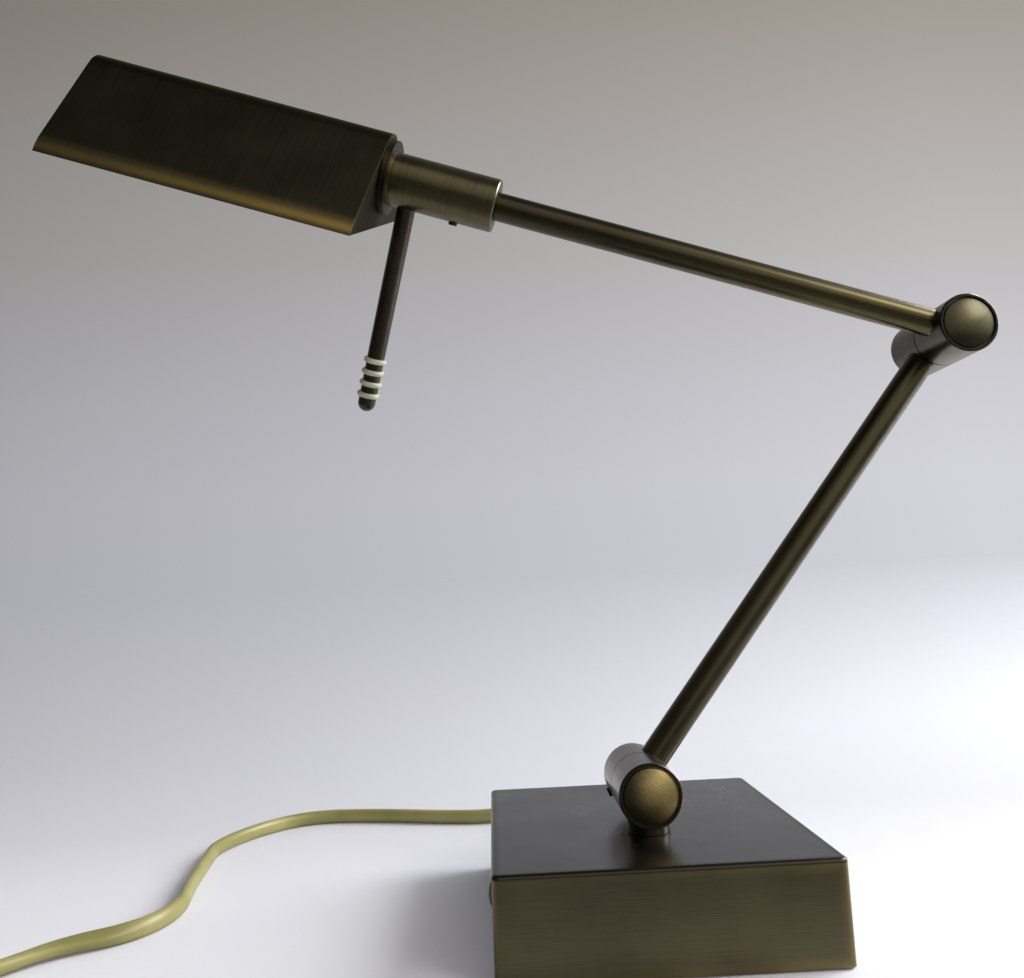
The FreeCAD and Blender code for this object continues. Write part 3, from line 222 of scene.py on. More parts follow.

# ---- Base -----------------------------------------------------------------------------------
# A pressed steel box, plated and brushed along its sides, with brighter brass along its edges in
# patches, strongest at the right: partly worn plating, mostly a painted highlight. A cast block weighs
# it down, and a steel plate on six screws and a felt sheet close it below.
MM = 0.001
BASE_HALF, BASE_TOP = 50 * MM, 29.4 * MM
BRONZE_DARK, BRONZE_LIGHT = (0.076, 0.065, 0.034), (0.134, 0.114, 0.059)
# A dark colour for oxide on the barrels' end faces, also used as painted shade on the base, the upper tube
# and the caps.
OXIDE_AND_SHADE = (0.030, 0.025, 0.018)

brushing = bpy.data.node_groups.new("brushing", "ShaderNodeTree")
for name in ("Vector", "Stretch"):
    brushing.interface.new_socket(name, in_out="INPUT", socket_type="NodeSocketVector")
for name in ("Lines", "Cloud"):
    brushing.interface.new_socket(name, in_out="OUTPUT", socket_type="NodeSocketFloat")
entry = brushing.nodes.new("NodeGroupInput").outputs
pulled = add(brushing, "ShaderNodeVectorMath", {
    0: entry["Vector"], 1: entry["Stretch"]}, operation="MULTIPLY")
lines = add(brushing, "ShaderNodeTexNoise", {"Vector": pulled, "Scale": 1.0, "Detail": 3.0, "Roughness": 0.7})
cloud = add(brushing, "ShaderNodeTexNoise", {
    "Vector": entry["Vector"], "Scale": 38.0, "Detail": 4.0, "Roughness": 0.55})
add(brushing, "NodeGroupOutput", {"Lines": lines, "Cloud": cloud})


def finish_material(tree, **sockets):
    """A Principled shader with these inputs, wired to the output."""
    inputs = {name.replace("_", " "): value for name, value in sockets.items()}
    shader = add(tree, "ShaderNodeBsdfPrincipled", inputs)
    add(tree, "ShaderNodeOutputMaterial", {"Surface": shader})
    return shader


def paint(material, *names):
    """Puts a material on CAD nodes by name, or on new pieces."""
    for name in names:
        piece = nodes[name] if isinstance(name, str) else name
        if piece.material_slots:
            piece.material_slots[0].material = material
        else:
            piece.data.materials.append(material)


def brushed(name, stretch, turn=(0, 0, 0), dark=BRONZE_DARK, light=BRONZE_LIGHT, roughness=0.30,
            ridge=0.000012, layers=None, coat=0.35, edge=(1, 1, 1), brush_map=None):
    """Lacquered antique plating with fine lines: turn (degrees) brings the piece's own axis upright,
    stretch is how often the lines repeat along each axis, per metre, and ridge is their height. The
    layers give shares and colours over the plating, edge is its tint at a glance, and a brush map
    smears gloss across the lines."""
    material, tree = new_material(name)
    place = surface_place(tree)
    straight = add(tree, "ShaderNodeMapping", {
        "Vector": place, "Rotation": tuple(np.radians(turn))}).outputs[0]
    grain = add(tree, "ShaderNodeGroup", {"Vector": straight, "Stretch": stretch}, node_tree=brushing)
    lines, cloud = grain.outputs
    blend = add(tree, "ShaderNodeMix", {0: 0.42, 2: lines, 3: cloud})
    tone = ramp(tree, blend, [(0.34, dark), (0.66, light)])
    for share, colour in (layers(tree, place, straight, cloud) if layers else []):
        tone = add(tree, "ShaderNodeMix", {0: share, 6: tone, 7: (*colour, 1)}, data_type="RGBA").outputs[2]
    shader = finish_material(
        tree, Base_Color=tone, Metallic=1.0, Coat_Weight=coat, Coat_Roughness=0.22,
        Roughness=remap(tree, cloud, 0.3, 0.7, roughness - 0.04, roughness + 0.05),
        Normal=add(tree, "ShaderNodeBump", {"Height": lines, "Strength": 1.0, "Distance": ridge}),
        Specular_Tint=(*edge, 1))
    if brush_map:
        across = add(tree, "ShaderNodeTangent", direction_type="UV_MAP", uv_map=brush_map)
        tree.links.new(across.outputs[0], shader.inputs["Tangent"])
        shader.inputs["Anisotropic"].default_value = 0.75
    return material


def span(tree, value, start, end, low=0.0, high=1.0):
    """A smooth step of a value: low up to start, and high from end on."""
    return remap(tree, value, start, end, low, high, "SMOOTHSTEP")


def base_edges(tree, place, straight, cloud):
    """Folds the box onto one corner, where each coordinate is 0 at a face and negative inside it. The
    flat top is greyer, and the rounding of its edge is painted dark, a painted reflection of the dim
    room. On the walls the middle coordinate of the three is how near an edge is, and there brighter
    brass is laid in patches, strongest at the right: partly worn plating, mostly a painted highlight."""
    half = (BASE_HALF, BASE_HALF, BASE_TOP / 2)
    centred = add(tree, "ShaderNodeVectorMath", {0: place, 1: (0, 0, BASE_TOP / 2)}, operation="SUBTRACT")
    folded = add(tree, "ShaderNodeVectorMath", {0: centred}, operation="ABSOLUTE")
    inside = add(tree, "ShaderNodeVectorMath", {0: folded, 1: half}, operation="SUBTRACT")
    x, y, z = add(tree, "ShaderNodeSeparateXYZ", {"Vector": inside}).outputs
    outer = fold(tree, "MAXIMUM", x, y)
    near = fold(tree, "MAXIMUM", fold(tree, "MINIMUM", x, y), fold(tree, "MINIMUM", outer, z))
    right, _, level = add(tree, "ShaderNodeSeparateXYZ", {"Vector": place}).outputs
    top = span(tree, level, BASE_TOP - 0.6 * MM, BASE_TOP - 0.1 * MM, 0.0, 0.8)
    # Brass patches along the edges, painted strongest at the right as a highlight from the window.
    patchy = fold(tree, "MULTIPLY", span(tree, cloud, 0.35, 0.65, 0.40, 0.85),
                  span(tree, right, -BASE_HALF, BASE_HALF, 0.1, 1.0))
    edge_wear_and_highlight = fold(tree, "MULTIPLY", span(tree, near, -4.5 * MM, 0.0), patchy,
                  span(tree, level, BASE_TOP - 0.8 * MM, BASE_TOP - 1.6 * MM))
    # The rounding of the top edge is painted dark: a painted reflection of the dim room.
    rounded = fold(tree, "MULTIPLY", span(tree, outer, -3.0 * MM, -1.2 * MM),
                   span(tree, level, BASE_TOP - 1.6 * MM, BASE_TOP - 1.0 * MM), 0.85)
    return [(top, (0.105, 0.102, 0.104)), (edge_wear_and_highlight, (0.30, 0.225, 0.08)), (rounded, OXIDE_AND_SHADE)]


base_metal = brushed("base_plating", (40, 40, 4200), dark=(0.088, 0.078, 0.045),
                     light=(0.152, 0.133, 0.074), layers=base_edges)
paint(base_metal, "base_shell")


def mottled(name, scale, dark, light, detail=2.0, fineness=0.5, stops=(0.3, 0.7), bump=None, **sockets):
    """A material whose tone wanders between dark and light, scale times per metre, with a bump of
    (strength, height) from the same pattern if it is given."""
    material, tree = new_material(name)
    grain = add(tree, "ShaderNodeTexNoise", {
        "Vector": surface_place(tree), "Scale": scale, "Detail": detail, "Roughness": fineness})
    if bump:
        strength, height = bump
        sockets["Normal"] = add(tree, "ShaderNodeBump", {
            "Height": grain, "Strength": strength, "Distance": height})
    finish_material(tree, Base_Color=ramp(tree, grain, [(stops[0], dark), (stops[1], light)]), **sockets)
    return material


steel = mottled("zinc_steel", 700.0, (0.42, 0.42, 0.43), (0.6, 0.6, 0.61), detail=4.0,
                Metallic=1.0, Roughness=0.38)
paint(steel, "bottom_plate", "plate_screws")
felt = mottled("dark_felt", 2500.0, 0.012, 0.05, detail=6.0, fineness=0.7, stops=(0.35, 0.7),
               bump=(0.6, 0.3 * MM), Roughness=0.95, Sheen_Weight=0.4)
paint(felt, "base_felt")
iron = mottled("cast_iron", 400.0, (0.06, 0.058, 0.055), (0.14, 0.135, 0.13), detail=6.0,
               bump=(0.5, 0.4 * MM), Metallic=0.8, Roughness=0.6)
paint(iron, "ballast_block")

# ---- Push switch ----------------------------------------------------------------------------
# A black moulded body with a domed button, pushed through the base's left wall and held there by a
# dark plated ring nut.
AROUND = (12, 12, 2400)
black = mottled("black_moulding", 1800.0, 0.010, 0.022, detail=3.0, bump=(0.25, 0.1 * MM), Roughness=0.38)
paint(black, "switch_body", "switch_button")
dark_band = brushed("washer_plating", AROUND, dark=(0.02, 0.017, 0.012), light=(0.06, 0.047, 0.027),
                    roughness=0.4)
paint(dark_band, "switch_bezel")

# ---- Mains cord -----------------------------------------------------------------------------
# A flat two-core lead in see-through vinyl. It leaves the gland at the back of the base on edge,
# lies on the table in loose bends with a twist, and ends in a coil of its spare length and a plug.
# All its sizes and points are in millimetres.
CORD_WIDTH, CORD_THICKNESS = 6.0, 4.4
COIL_CENTRE, COIL_RADIUS, COIL_HEIGHT = np.array([-261.0, -42.0]), 42, 3.1
COIL_START, COIL_TURNS = np.radians(-34.0), 5 + 146 / 360
COIL_POINTS = 14
TWIST_START, TWIST_END = 285, 385
table_route = [
    (0, 70, 17.8), (0, 84.5, 17), (-5.8, 99.3, 13.2), (-18.1, 110.2, 8.4), (-35.8, 114.5, 4.4),
    (-53.9, 111.9, 3), (-78, 117, 3), (-106, 124.6, 3), (-135.5, 128.1, 3), (-156.6, 112.4, 3),
    (-169.4, 86.5, 3), (-167, 67.3, 3), (-163.2, 37.6, 3), (-158.1, 14.3, 3), (-166.7, -3.4, 3),
    (-185.7, -11.8, 3.15), (-195.1, -22.5, 2.9), (-212.2, -44.8, 3.05),
]
tail_route = [(-303, -28, 8.6), (-303, -20, 7.2), (-303, -14, 6.8)]


def smooth_step(values, low, high):
    """0 below low, 1 above high, and an S curve between."""
    t = np.clip((values - low) / (high - low), 0, 1)
    return t * t * (3 - 2 * t)


def coil_points():
    """A flat coil wound inwards in one layer and outwards in a second: the radius changes by one
    cord width once a turn, and the height by one where the second layer starts."""
    turn = np.linspace(0, COIL_TURNS, int(round(COIL_TURNS * COIL_POINTS)) + 1)
    inwards = smooth_step(turn, 0.80, 0.98) + smooth_step(turn, 1.80, 1.98)
    outwards = smooth_step(turn, 3.55, 3.73) + smooth_step(turn, 4.55, 4.73)
    radius = COIL_RADIUS + CORD_WIDTH * (outwards - inwards)
    height = COIL_HEIGHT + CORD_WIDTH * smooth_step(turn, 2.74, 2.92)
    angle = COIL_START - 2 * np.pi * turn
    swell = 1.01  # the smooth line lies a little inside its points
    flat = COIL_CENTRE + swell * radius[:, None] * np.stack([np.cos(angle), np.sin(angle)], 1)
    return np.column_stack([flat, height])


route = np.vstack([table_route, coil_points(), tail_route]) * MM
thread = bpy.data.curves.new("lead_line", "CURVE")
thread.dimensions = "3D"
spline = thread.splines.new("NURBS")
spline.points.add(len(route) - 1)
spline.points.foreach_set("co", np.column_stack([route, np.ones(len(route))]).ravel())
spline.order_u = 3
spline.use_endpoint_u = True
spline.resolution_u = 8
lead_line = bpy.data.objects.new("lead_line", thread)
traced = bpy.data.meshes.new_from_object(lead_line)
line = np.empty(3 * len(traced.vertices))
traced.vertices.foreach_get("co", line)
line = line.reshape(-1, 3)
bpy.data.objects.remove(lead_line)
bpy.data.meshes.remove(traced)


def piece_from_grid(name, grid, looped=False, sharp=40):
    """A closed skin over rows of points, crisp along edges sharper than this many degrees. Each row
    is a ring, joined to the next row; the last row joins the first one if looped, and otherwise both
    end rings are closed to their middles."""
    rows, columns = grid.shape[:2]
    index = np.arange(rows * columns).reshape(rows, columns)
    here, there = (index, np.roll(index, -1, 0)) if looped else (index[:-1], index[1:])
    quads = np.stack([here, np.roll(here, -1, 1), np.roll(there, -1, 1), there], -1).reshape(-1, 4)
    points, faces = grid.reshape(-1, 3), quads.tolist()
    if not looped:
        points = np.vstack([points, grid[[0, -1]].mean(1)])
        first, last = index[0], index[-1]
        near, far = rows * columns, rows * columns + 1
        faces += np.stack([np.full(columns, near), np.roll(first, -1), first], 1).tolist()
        faces += np.stack([np.full(columns, far), last, np.roll(last, -1)], 1).tolist()
    mesh = bpy.data.meshes.new(name)
    mesh.from_pydata(points.tolist(), [], faces)
    mesh.shade_smooth()
    mesh.set_sharp_from_angle(angle=np.radians(sharp))
    piece = bpy.data.objects.new(name, mesh)
    bpy.context.scene.collection.objects.link(piece)
    return piece


def cord_skin(line, sides=28):
    """An oval ring at each point of the line: half the width * cos(t) along one axis, and minus half
    the thickness * |sin(t)|^0.85, with the sine's sign, along the other. The long axis starts
    upright, and half a turn of twist lays it flat and up again."""
    step = np.linalg.norm(np.diff(line, axis=0), axis=1)
    far = np.concatenate([[0], np.cumsum(step)])
    ahead = np.gradient(line, far, axis=0)
    ahead /= np.linalg.norm(ahead, axis=1)[:, None]
    across = np.cross(ahead, [0, 0, 1])
    across /= np.linalg.norm(across, axis=1)[:, None]
    above = np.cross(across, ahead)
    roll = np.radians(90 - 180 * smooth_step(far / MM, TWIST_START, TWIST_END))[:, None]
    long_axis = np.cos(roll) * across + np.sin(roll) * above
    short_axis = -np.sin(roll) * across + np.cos(roll) * above
    t = np.linspace(0, 2 * np.pi, sides, endpoint=False)[None, :, None]
    flattened = np.sign(np.sin(t)) * np.abs(np.sin(t)) ** 0.85
    wide = CORD_WIDTH / 2 * MM * np.cos(t) * long_axis[:, None]
    thin = CORD_THICKNESS / 2 * MM * flattened * short_axis[:, None]
    return line[:, None] + wide - thin


cord = piece_from_grid("mains_lead", cord_skin(line), sharp=60)
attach(cord, "base")
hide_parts("mains_cord", "cord_coil")

vinyl, tree = new_material("olive_vinyl")
place = surface_place(tree)
cloud = add(tree, "ShaderNodeTexNoise", {"Vector": place, "Scale": 45.0, "Detail": 3.0})
tone = ramp(tree, cloud, [(0.35, (0.235, 0.225, 0.075)), (0.65, (0.33, 0.30, 0.12))])
ripple = add(tree, "ShaderNodeTexNoise", {"Vector": place, "Scale": 900.0, "Detail": 2.0})
skin = add(tree, "ShaderNodeBump", {"Height": ripple, "Strength": 0.2, "Distance": 0.1 * MM})
finish_material(tree, Base_Color=tone, Roughness=0.36, Normal=skin, Subsurface_Weight=0.3,
                Subsurface_Radius=(0.6, 0.55, 0.2), Subsurface_Scale=0.003)
paint(vinyl, cord, "inner_cord")
paint(black, "cord_clamp", "terminal_block")
paint(steel, "clamp_screws")
leads = mottled("lead_vinyl", 500.0, 0.02, 0.045, Roughness=0.45)
paint(leads, "supply_leads")

# ---- Strain relief and plug -----------------------------------------------------------------
# Soft black vinyl moulded on the cord: a ribbed sleeve held in the base's back wall by a flange on
# each side of it, and a flat two-pin plug with a ribbed neck. Sizes are in millimetres.
GLAND_AXIS = np.array([0, 0, 17.8]) * MM
WALL_IN, WALL_OUT, WALL_GAP, GLAND_TIP = 48.2, 50.0, 0.05, 70.0
BORE, FLANGE, NECK = 3.1, 6.5, 4.6
SLEEVE_ROOT, SLEEVE_TIP = (51.9, 5.2), (GLAND_TIP - 0.5, 4.0)


def ribs(y, start, pitch, count, depth):
    """Grooves around a sleeve: depth * sin(pi * position / pitch)^6, dipping once in each pitch."""
    on = (y > start) & (y < start + pitch * count)
    return on * depth * np.sin(np.pi * (y - start) / pitch) ** 6


def turned(outline, centre, sides, way=1):
    """A profile turned about an axis that runs front to back through the centre: at each of its
    (radius, distance) points x = radius * sin(t), z = radius * cos(t) and y = way * distance."""
    t = np.linspace(0, 2 * np.pi, sides, endpoint=False)
    circle = np.stack([np.sin(t), np.zeros(sides), np.cos(t)], 1)
    radius, distance = outline[:, :1, None], outline[:, 1:, None]
    return centre + radius * circle + way * distance * np.array([0, 1, 0])


def relief_outline():
    """The sleeve's profile, out along its surface and back along its bore: the inner flange, the
    neck in the wall, the outer flange, the ribbed taper and the tip."""
    (root, root_radius), (tip, tip_radius) = SLEEVE_ROOT, SLEEVE_TIP
    inner, outer = WALL_IN - WALL_GAP, WALL_OUT + WALL_GAP
    taper = np.linspace(root, tip, 150)
    radius = np.interp(taper, [root, tip], [root_radius, tip_radius]) - ribs(taper, 54.2, 2.0, 7, 0.8)
    flanges = [(BORE, 46.6), (FLANGE - 0.3, 46.6), (FLANGE, 46.9), (FLANGE, inner), (NECK, inner),
               (NECK, outer), (FLANGE, outer), (FLANGE, 51.2), (FLANGE - 0.4, 51.65), (5.4, 51.65)]
    end = [(3.9, GLAND_TIP - 0.35), (3.6, GLAND_TIP), (BORE, GLAND_TIP)]
    bore = [(BORE, y) for y in (65, 60, 55, 50)]
    return np.vstack([flanges, np.column_stack([radius, taper]), end, bore]) * MM


relief = piece_from_grid("cord_relief", turned(relief_outline(), GLAND_AXIS, 72), looped=True, sharp=35)
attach(relief, "base")
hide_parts("cord_gland")

PLUG_AXIS = np.array([-303, 0, 6.8]) * MM
PLUG_TAIL, PLUG_NECK, PLUG_FRONT, PLUG_ROUND = -16.9, 1.2, 25.1, 1.5
PLUG_WIDE, PLUG_THICK = 17.4, 6.75


def plug_rings(sides=96):
    """Rounded oblong sections along the plug: |x/a|^n + |z/b|^n = 1, where a and b swell from the
    ribbed neck to the body and n rises from 2, a circle, to 4.5. The front edge is rounded over."""
    rounded_from = PLUG_FRONT - PLUG_ROUND
    last = PLUG_FRONT - PLUG_ROUND * np.cos(np.linspace(0, np.pi / 2, 9)[1:])
    y = np.concatenate([
        np.linspace(PLUG_TAIL, PLUG_NECK, 120), np.linspace(PLUG_NECK + 0.2, rounded_from, 60), last])
    neck = np.interp(y, [PLUG_TAIL, PLUG_TAIL + 0.7, PLUG_NECK], [3.5, 3.9, 4.6])
    neck -= ribs(y, -14.2, 2.0, 7, 0.7)
    drop = np.sqrt(1 - np.clip((y - rounded_from) / PLUG_ROUND, 0, 1) ** 2)
    rounding = PLUG_ROUND * (1 - drop)
    a = neck + smooth_step(y, 0.2, 11) * (PLUG_WIDE - neck) - rounding
    b = np.minimum(neck + smooth_step(y, 0.2, 8) * (PLUG_THICK - neck), PLUG_THICK) - rounding
    power = 2 / (2 + 2.5 * smooth_step(y, 1, 12))
    t = np.linspace(0, 2 * np.pi, sides, endpoint=False)
    x = a[:, None] * np.sign(np.sin(t)) * np.abs(np.sin(t)) ** power[:, None]
    z = b[:, None] * np.sign(np.cos(t)) * np.abs(np.cos(t)) ** power[:, None]
    return PLUG_AXIS + np.stack([x, np.repeat(y[:, None], sides, 1), z], -1) * MM


plug = piece_from_grid("moulded_plug", plug_rings(), sharp=50)
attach(plug, "base")
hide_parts("plug_body")
paint(black, relief, plug)

PINS_BARE_FROM = 35.1 * MM
pins, tree = new_material("sleeved_pins")
place = surface_place(tree)
grain = add(tree, "ShaderNodeTexNoise", {"Vector": place, "Scale": 900.0})
nickel = ramp(tree, grain, [(0.3, (0.66, 0.62, 0.52)), (0.7, (0.78, 0.74, 0.64))])
along = add(tree, "ShaderNodeSeparateXYZ", {"Vector": place}).outputs["Y"]
bare = fold(tree, "GREATER_THAN", along, PINS_BARE_FROM)
tone = add(tree, "ShaderNodeMix", {0: bare, 6: (0.015, 0.015, 0.015, 1), 7: nickel}, data_type="RGBA")
finish_material(tree, Base_Color=tone.outputs[2], Metallic=bare, Roughness=0.28)
paint(pins, "plug_pins")

# ---- Post, elbows and arms ------------------------------------------------------------------
# Turned barrels and drawn tubes, all plated and brushed: the barrels around and the tubes along. A
# hollow bolt with nuts and a spring washer holds each elbow, and threaded nipples hold the tubes.
LOWER_LEAN, UPPER_LEAN = 38.3, -72.4
LOWER_ELBOW, UPPER_ELBOW = (0, 0, 0.0422), (0.11621, 0, 0.18935)
ALONG = (2600, 2600, 14)
END_RADIUS = 9.9 * MM
DARKENS_FROM, DARK_BY = -30 * MM, 90 * MM
# The post is painted darker than the rest of the plating: painted shade under the lower barrel.
post_metal = brushed("post_plating", AROUND, dark=(0.030, 0.026, 0.016), light=(0.055, 0.046, 0.026))
paint(post_metal, "post_stem")
paint(dark_band, "foot_washer", "lower_seam_washer", "upper_seam_washer")
paint(steel, "post_washer", "post_nut", "lower_pivot_nuts", "lower_spring_washer", "upper_pivot_nuts",
      "upper_spring_washer")
paint(leads, "lower_arm_lead", "upper_arm_lead")


def from_axis(tree, place, centre):
    """How far each point is from an axis that runs front to back through the centre."""
    off = add(tree, "ShaderNodeVectorMath", {0: place, 1: centre}, operation="SUBTRACT")
    flat = add(tree, "ShaderNodeVectorMath", {0: off, 1: (1, 0, 1)}, operation="MULTIPLY")
    return add(tree, "ShaderNodeVectorMath", {0: flat}, operation="LENGTH").outputs["Value"]


def end_ring(centre, oxide):
    """Oxide on a barrel's end face and in its recess, which are nearer to its axis than its skin."""
    def layers(tree, place, straight, cloud):
        away = from_axis(tree, place, centre)
        return [(span(tree, away, END_RADIUS + 0.07 * MM, END_RADIUS), oxide)]
    return layers


def tube_painted_shade(tree, place, straight, cloud):
    """Along its own axis, from the elbow to the sleeve, the upper tube is painted darker in the oxide colour:
    painted shade.
    """
    along = add(tree, "ShaderNodeSeparateXYZ", {"Vector": straight}).outputs["Z"]
    return [(span(tree, along, DARKENS_FROM, DARK_BY, 0.0, 0.72), OXIDE_AND_SHADE)]


# The barrels share one finish; the lower pair is painted lighter than the upper pair: painted light.
lower_barrel = brushed(
    "lower_barrel_plating", AROUND, (90, 0, 0), dark=(0.150, 0.137, 0.122), light=(0.250, 0.228, 0.200),
    roughness=0.34, layers=end_ring(LOWER_ELBOW, OXIDE_AND_SHADE))
paint(lower_barrel, "lower_front_knuckle", "lower_rear_knuckle")
upper_barrel = brushed(
    "upper_barrel_plating", AROUND, (90, 0, 0), dark=(0.085, 0.077, 0.060), light=(0.145, 0.130, 0.100),
    roughness=0.32, layers=end_ring(UPPER_ELBOW, (0.010, 0.009, 0.007)))
paint(upper_barrel, "upper_front_knuckle", "upper_rear_knuckle")
# The tubes share one finish: the upper one is painted lighter than the lower one, and darker again towards
# the sleeve: painted light and shade.
lower_tube = brushed("lower_arm_plating", ALONG, (0, -LOWER_LEAN, 0), dark=(0.046, 0.039, 0.021),
                     light=(0.088, 0.074, 0.039))
paint(lower_tube, "lower_arm_tube")
upper_tube = brushed("upper_arm_plating", ALONG, (0, -UPPER_LEAN, 0), dark=(0.070, 0.058, 0.025),
                     light=(0.118, 0.098, 0.040), ridge=0.000004, layers=tube_painted_shade)
paint(upper_tube, "upper_arm_tube")
brass = mottled("plain_brass", 900.0, (0.55, 0.38, 0.12), (0.75, 0.56, 0.22), detail=3.0,
                Metallic=1.0, Roughness=0.3)
paint(brass, "lower_pivot", "upper_pivot", "lower_arm_nipples", "upper_arm_nipple")
oxide = mottled("black_oxide", 1500.0, 0.008, 0.02, Metallic=0.6, Roughness=0.45)
paint(oxide, "lower_lock_screw")

# ---- Elbow caps -----------------------------------------------------------------------------
# A turned and plated dome is pressed into each barrel's outer end. The lower ones are brushed
# straight across and painted lighter than the upper ones, and each has a painted highlight to the
# right of and above its middle, with painted shade around it.
LOWER_BRUSH, UPPER_BRUSH = 52, 20
FRONT_END, REAR_END = (-25 * MM, -1), (9.5 * MM, 1)
BRUSH_MAP_SIZE = 20 * MM


def cap_outline():
    """A turned cap's profile: height = top - (top + sink) * (radius / reach)^2 over the dome, a rim
    rounded by 0.5 mm, and the wider foot that is pressed into the recess."""
    top, sink, hub, reach, rim, foot = 1.35, 0.15, 0.15, 8.25, 0.5, 8.9
    foot_top, foot_end = -0.85, -2.0
    radius = np.linspace(hub, reach, 28)
    dome = np.column_stack([radius, top - (top + sink) * (radius / reach) ** 2])
    slope = np.arctan(2 * (top + sink) / reach)
    turn = np.linspace(slope, np.pi / 2, 9)[1:]
    corner = dome[-1] - rim * np.array([np.sin(slope), np.cos(slope)])
    edge = corner + rim * np.column_stack([np.sin(turn), np.cos(turn)])
    pressed = [(edge[-1, 0], foot_top), (foot, foot_top), (foot, foot_end), (hub, foot_end)]
    return np.vstack([dome, edge, pressed]) * MM


def lay_brush_map(piece, centre, lean):
    """A UV map whose first axis runs across the brush lines, which lean this far from upright."""
    mesh = piece.data
    spots = np.empty(3 * len(mesh.vertices))
    mesh.vertices.foreach_get("co", spots)
    spots = spots.reshape(-1, 3)[:, [0, 2]] - np.array(centre)[[0, 2]]
    corners = np.empty(len(mesh.loops), dtype=int)
    mesh.loops.foreach_get("vertex_index", corners)
    c, s = np.cos(np.radians(lean)), np.sin(np.radians(lean))
    straightened = spots @ np.array([[c, -s], [s, c]]) / BRUSH_MAP_SIZE + 0.5
    mesh.uv_layers.new(name="brush").uv.foreach_set("vector", straightened[corners].ravel())


def cap_painted_highlight(centre, share):
    """The cap is painted dark away from a spot 4 mm to the right of its middle and 2 mm up: a painted
    highlight on the spot and painted shade around it.
    """
    def layers(tree, place, straight, cloud):
        spot = (centre[0] + 4 * MM, 0, centre[2] + 2 * MM)
        return [(span(tree, from_axis(tree, place, spot), 3 * MM, 11.5 * MM, 0.0, share), OXIDE_AND_SHADE)]
    return layers


lower_cap = brushed(
    "lower_cap_plating", (2400, 2400, 16), (0, LOWER_BRUSH, 0), dark=(0.20, 0.152, 0.062),
    light=(0.46, 0.360, 0.155), roughness=0.33, ridge=0.000018, layers=cap_painted_highlight(LOWER_ELBOW, 0.92),
    brush_map="brush")
upper_cap = brushed(
    "upper_cap_plating", (2600, 2600, 900), (0, UPPER_BRUSH, 0), dark=(0.078, 0.070, 0.037),
    light=(0.146, 0.130, 0.069), roughness=0.35, ridge=0.000004, layers=cap_painted_highlight(UPPER_ELBOW, 0.72),
    brush_map="brush")
for name, centre, (face, way), body, metal, lean in (
        ("lower_front", LOWER_ELBOW, FRONT_END, "post", lower_cap, LOWER_BRUSH),
        ("lower_rear", LOWER_ELBOW, REAR_END, "lower_arm", lower_cap, LOWER_BRUSH),
        ("upper_front", UPPER_ELBOW, FRONT_END, "upper_arm", upper_cap, UPPER_BRUSH),
        ("upper_rear", UPPER_ELBOW, REAR_END, "lower_arm", upper_cap, UPPER_BRUSH)):
    middle = np.array([centre[0], face, centre[2]])
    outline = cap_outline()[::-way]  # run this way, the faces of both kinds of end point outwards
    dome = piece_from_grid(f"{name}_dome", turned(outline, middle, 96, way))
    lay_brush_map(dome, centre, lean)
    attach(dome, body)
    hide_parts(f"{name}_cap")
    paint(metal, dome)

# ---- Head: sleeve, flange, shade and handle -------------------------------------------------
# The sleeve is turned and brushed around, and the folded shade sheet is brushed across its length.
# The handle rod is darker and carries four cream rubber rings for the fingers.
SHADE_ROLL = 29.9
SHADE_TURN = (0, -UPPER_LEAN, SHADE_ROLL)
SLEEVE_END = 146.9 * MM
SHADE_MOUTH, SHADE_NEAR, SHADE_FAR = 177.8 * MM, 149 * MM, 253 * MM


def sleeve_rim_highlight(tree, place, straight, cloud):
    """Along its own axis the sleeve's last 0.5 mm, where it meets the flange, is painted brass: a painted
    highlight.
    """
    along = add(tree, "ShaderNodeSeparateXYZ", {"Vector": straight}).outputs["Z"]
    rim = span(tree, along, SLEEVE_END - 0.6 * MM, SLEEVE_END - 0.3 * MM, 0.0, 0.85)
    return [(rim, (0.46, 0.345, 0.13))]


sleeve_metal = brushed("sleeve_plating", AROUND, (0, -UPPER_LEAN, 0), layers=sleeve_rim_highlight)
paint(sleeve_metal, "sleeve")
flange_metal = brushed("flange_plating", AROUND, (0, -UPPER_LEAN, 0), dark=(0.030, 0.027, 0.018),
                       light=(0.056, 0.050, 0.034), roughness=0.38, coat=0.1)
paint(flange_metal, "flange_disc")
paint(brass, "arm_end_bush", "sleeve_core")
paint(oxide, "keeper_screw")
paint(steel, "head_nut")


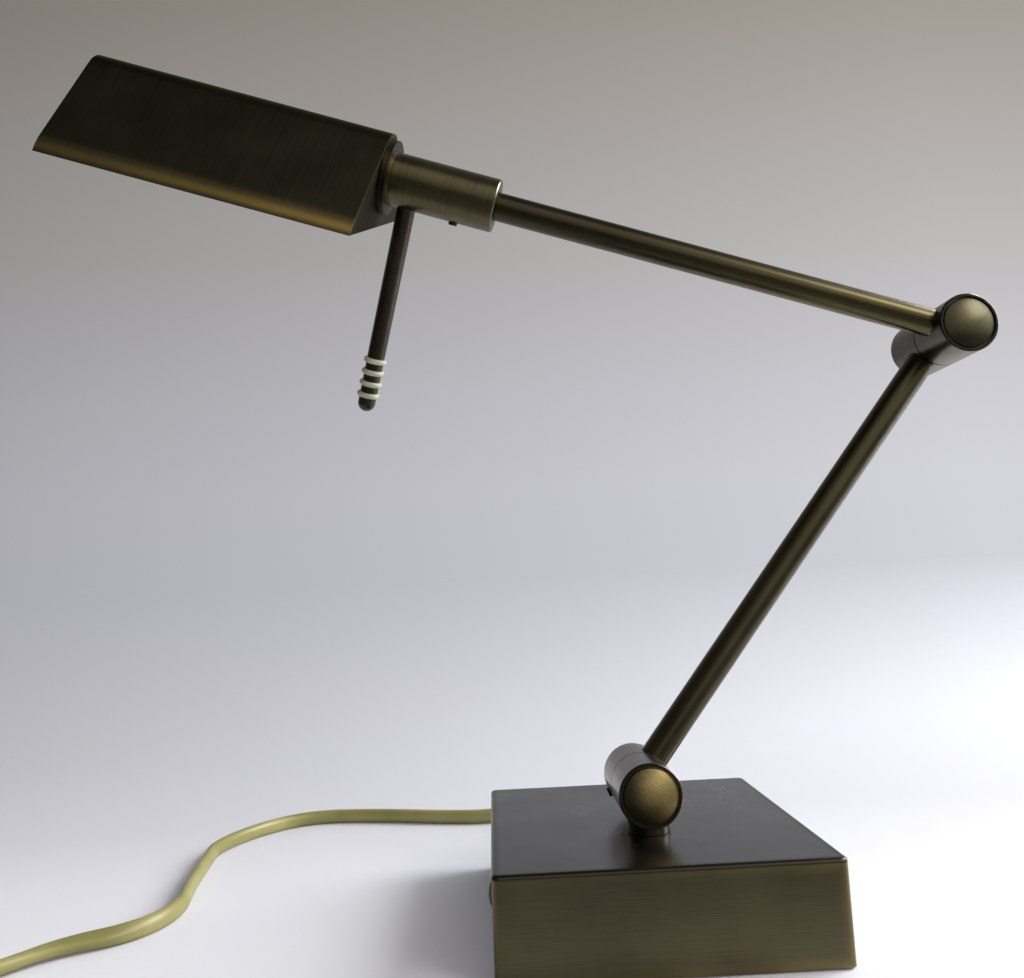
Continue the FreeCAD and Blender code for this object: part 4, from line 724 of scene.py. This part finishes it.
def shade_lip_highlights(tree, place, straight, cloud):
    """In the shade's own axes x is the height above its open edge and z runs along it. A gold band is
    painted along both lips, strongest 2.4 mm above the edge and towards the sleeve, as a painted
    reflection of the table, and a fine painted highlight along the end at the sleeve."""
    height, _, along = add(tree, "ShaderNodeSeparateXYZ", {"Vector": straight}).outputs
    gold = ramp(tree, remap(tree, height, SHADE_MOUTH, SHADE_MOUTH + 7 * MM), [
        (0.04, 0.0), (0.16, 0.25), (0.30, 0.85), (0.42, 0.75), (0.60, 0.25), (0.92, 0.0)])
    band = fold(tree, "MULTIPLY", gold, span(tree, along, SHADE_NEAR, SHADE_FAR, 1.0, 0.45),
                span(tree, cloud, 0.3, 0.7, 0.75, 1.0))
    end = span(tree, along, SHADE_NEAR + 0.7 * MM, SHADE_NEAR + 0.3 * MM, 0.0, 0.7)
    return [(band, (0.34, 0.238, 0.068)), (end, (0.20, 0.18, 0.11))]


shade_metal = brushed("shade_plating", (30, 30, 2700), SHADE_TURN, dark=(0.036, 0.036, 0.024),
                      light=(0.066, 0.064, 0.042), layers=shade_lip_highlights, coat=0.04, edge=(0.70, 0.72, 0.52))
paint(shade_metal, "shade_shell")
plate_metal = brushed("end_plate_plating", (14, 1800, 14), SHADE_TURN, dark=(0.062, 0.057, 0.041),
                      light=(0.105, 0.096, 0.067), roughness=0.38, coat=0.0, edge=(0.55, 0.52, 0.48))
paint(plate_metal, "right_end_plate", "left_end_plate")
rod_metal = brushed("rod_plating", (1500, 1500, 30), dark=(0.038, 0.031, 0.021), light=(0.072, 0.058, 0.038))
paint(rod_metal, "handle_rod")
bright = mottled("bright_aluminium", 600.0, 0.78, (0.88, 0.88, 0.87), detail=3.0, Metallic=1.0,
                 Roughness=0.25)
paint(bright, "reflector")
rubber = mottled(
    "cream_silicone", 300.0, (0.31, 0.33, 0.24), (0.40, 0.42, 0.31), detail=3.0, Roughness=0.4,
    Subsurface_Weight=0.4, Subsurface_Radius=(1.0, 1.0, 0.7), Subsurface_Scale=0.002)
paint(rubber, "grip_rings")

# ---- Lamp holder and capsule ----------------------------------------------------------------
# A glazed ceramic holder on the sleeve's threaded nipple, inside the shade, with a clear glass
# capsule plugged into its end.
glaze = mottled("white_glaze", 200.0, (0.74, 0.72, 0.68), (0.82, 0.80, 0.77), Roughness=0.25, Coat_Weight=0.3)
paint(glaze, "lamp_holder")
glass = mottled("capsule_glass", 150.0, (0.93, 0.94, 0.95), 0.97, Roughness=0.03,
                Transmission_Weight=0.9, IOR=1.47)
paint(glass, "lamp_capsule")
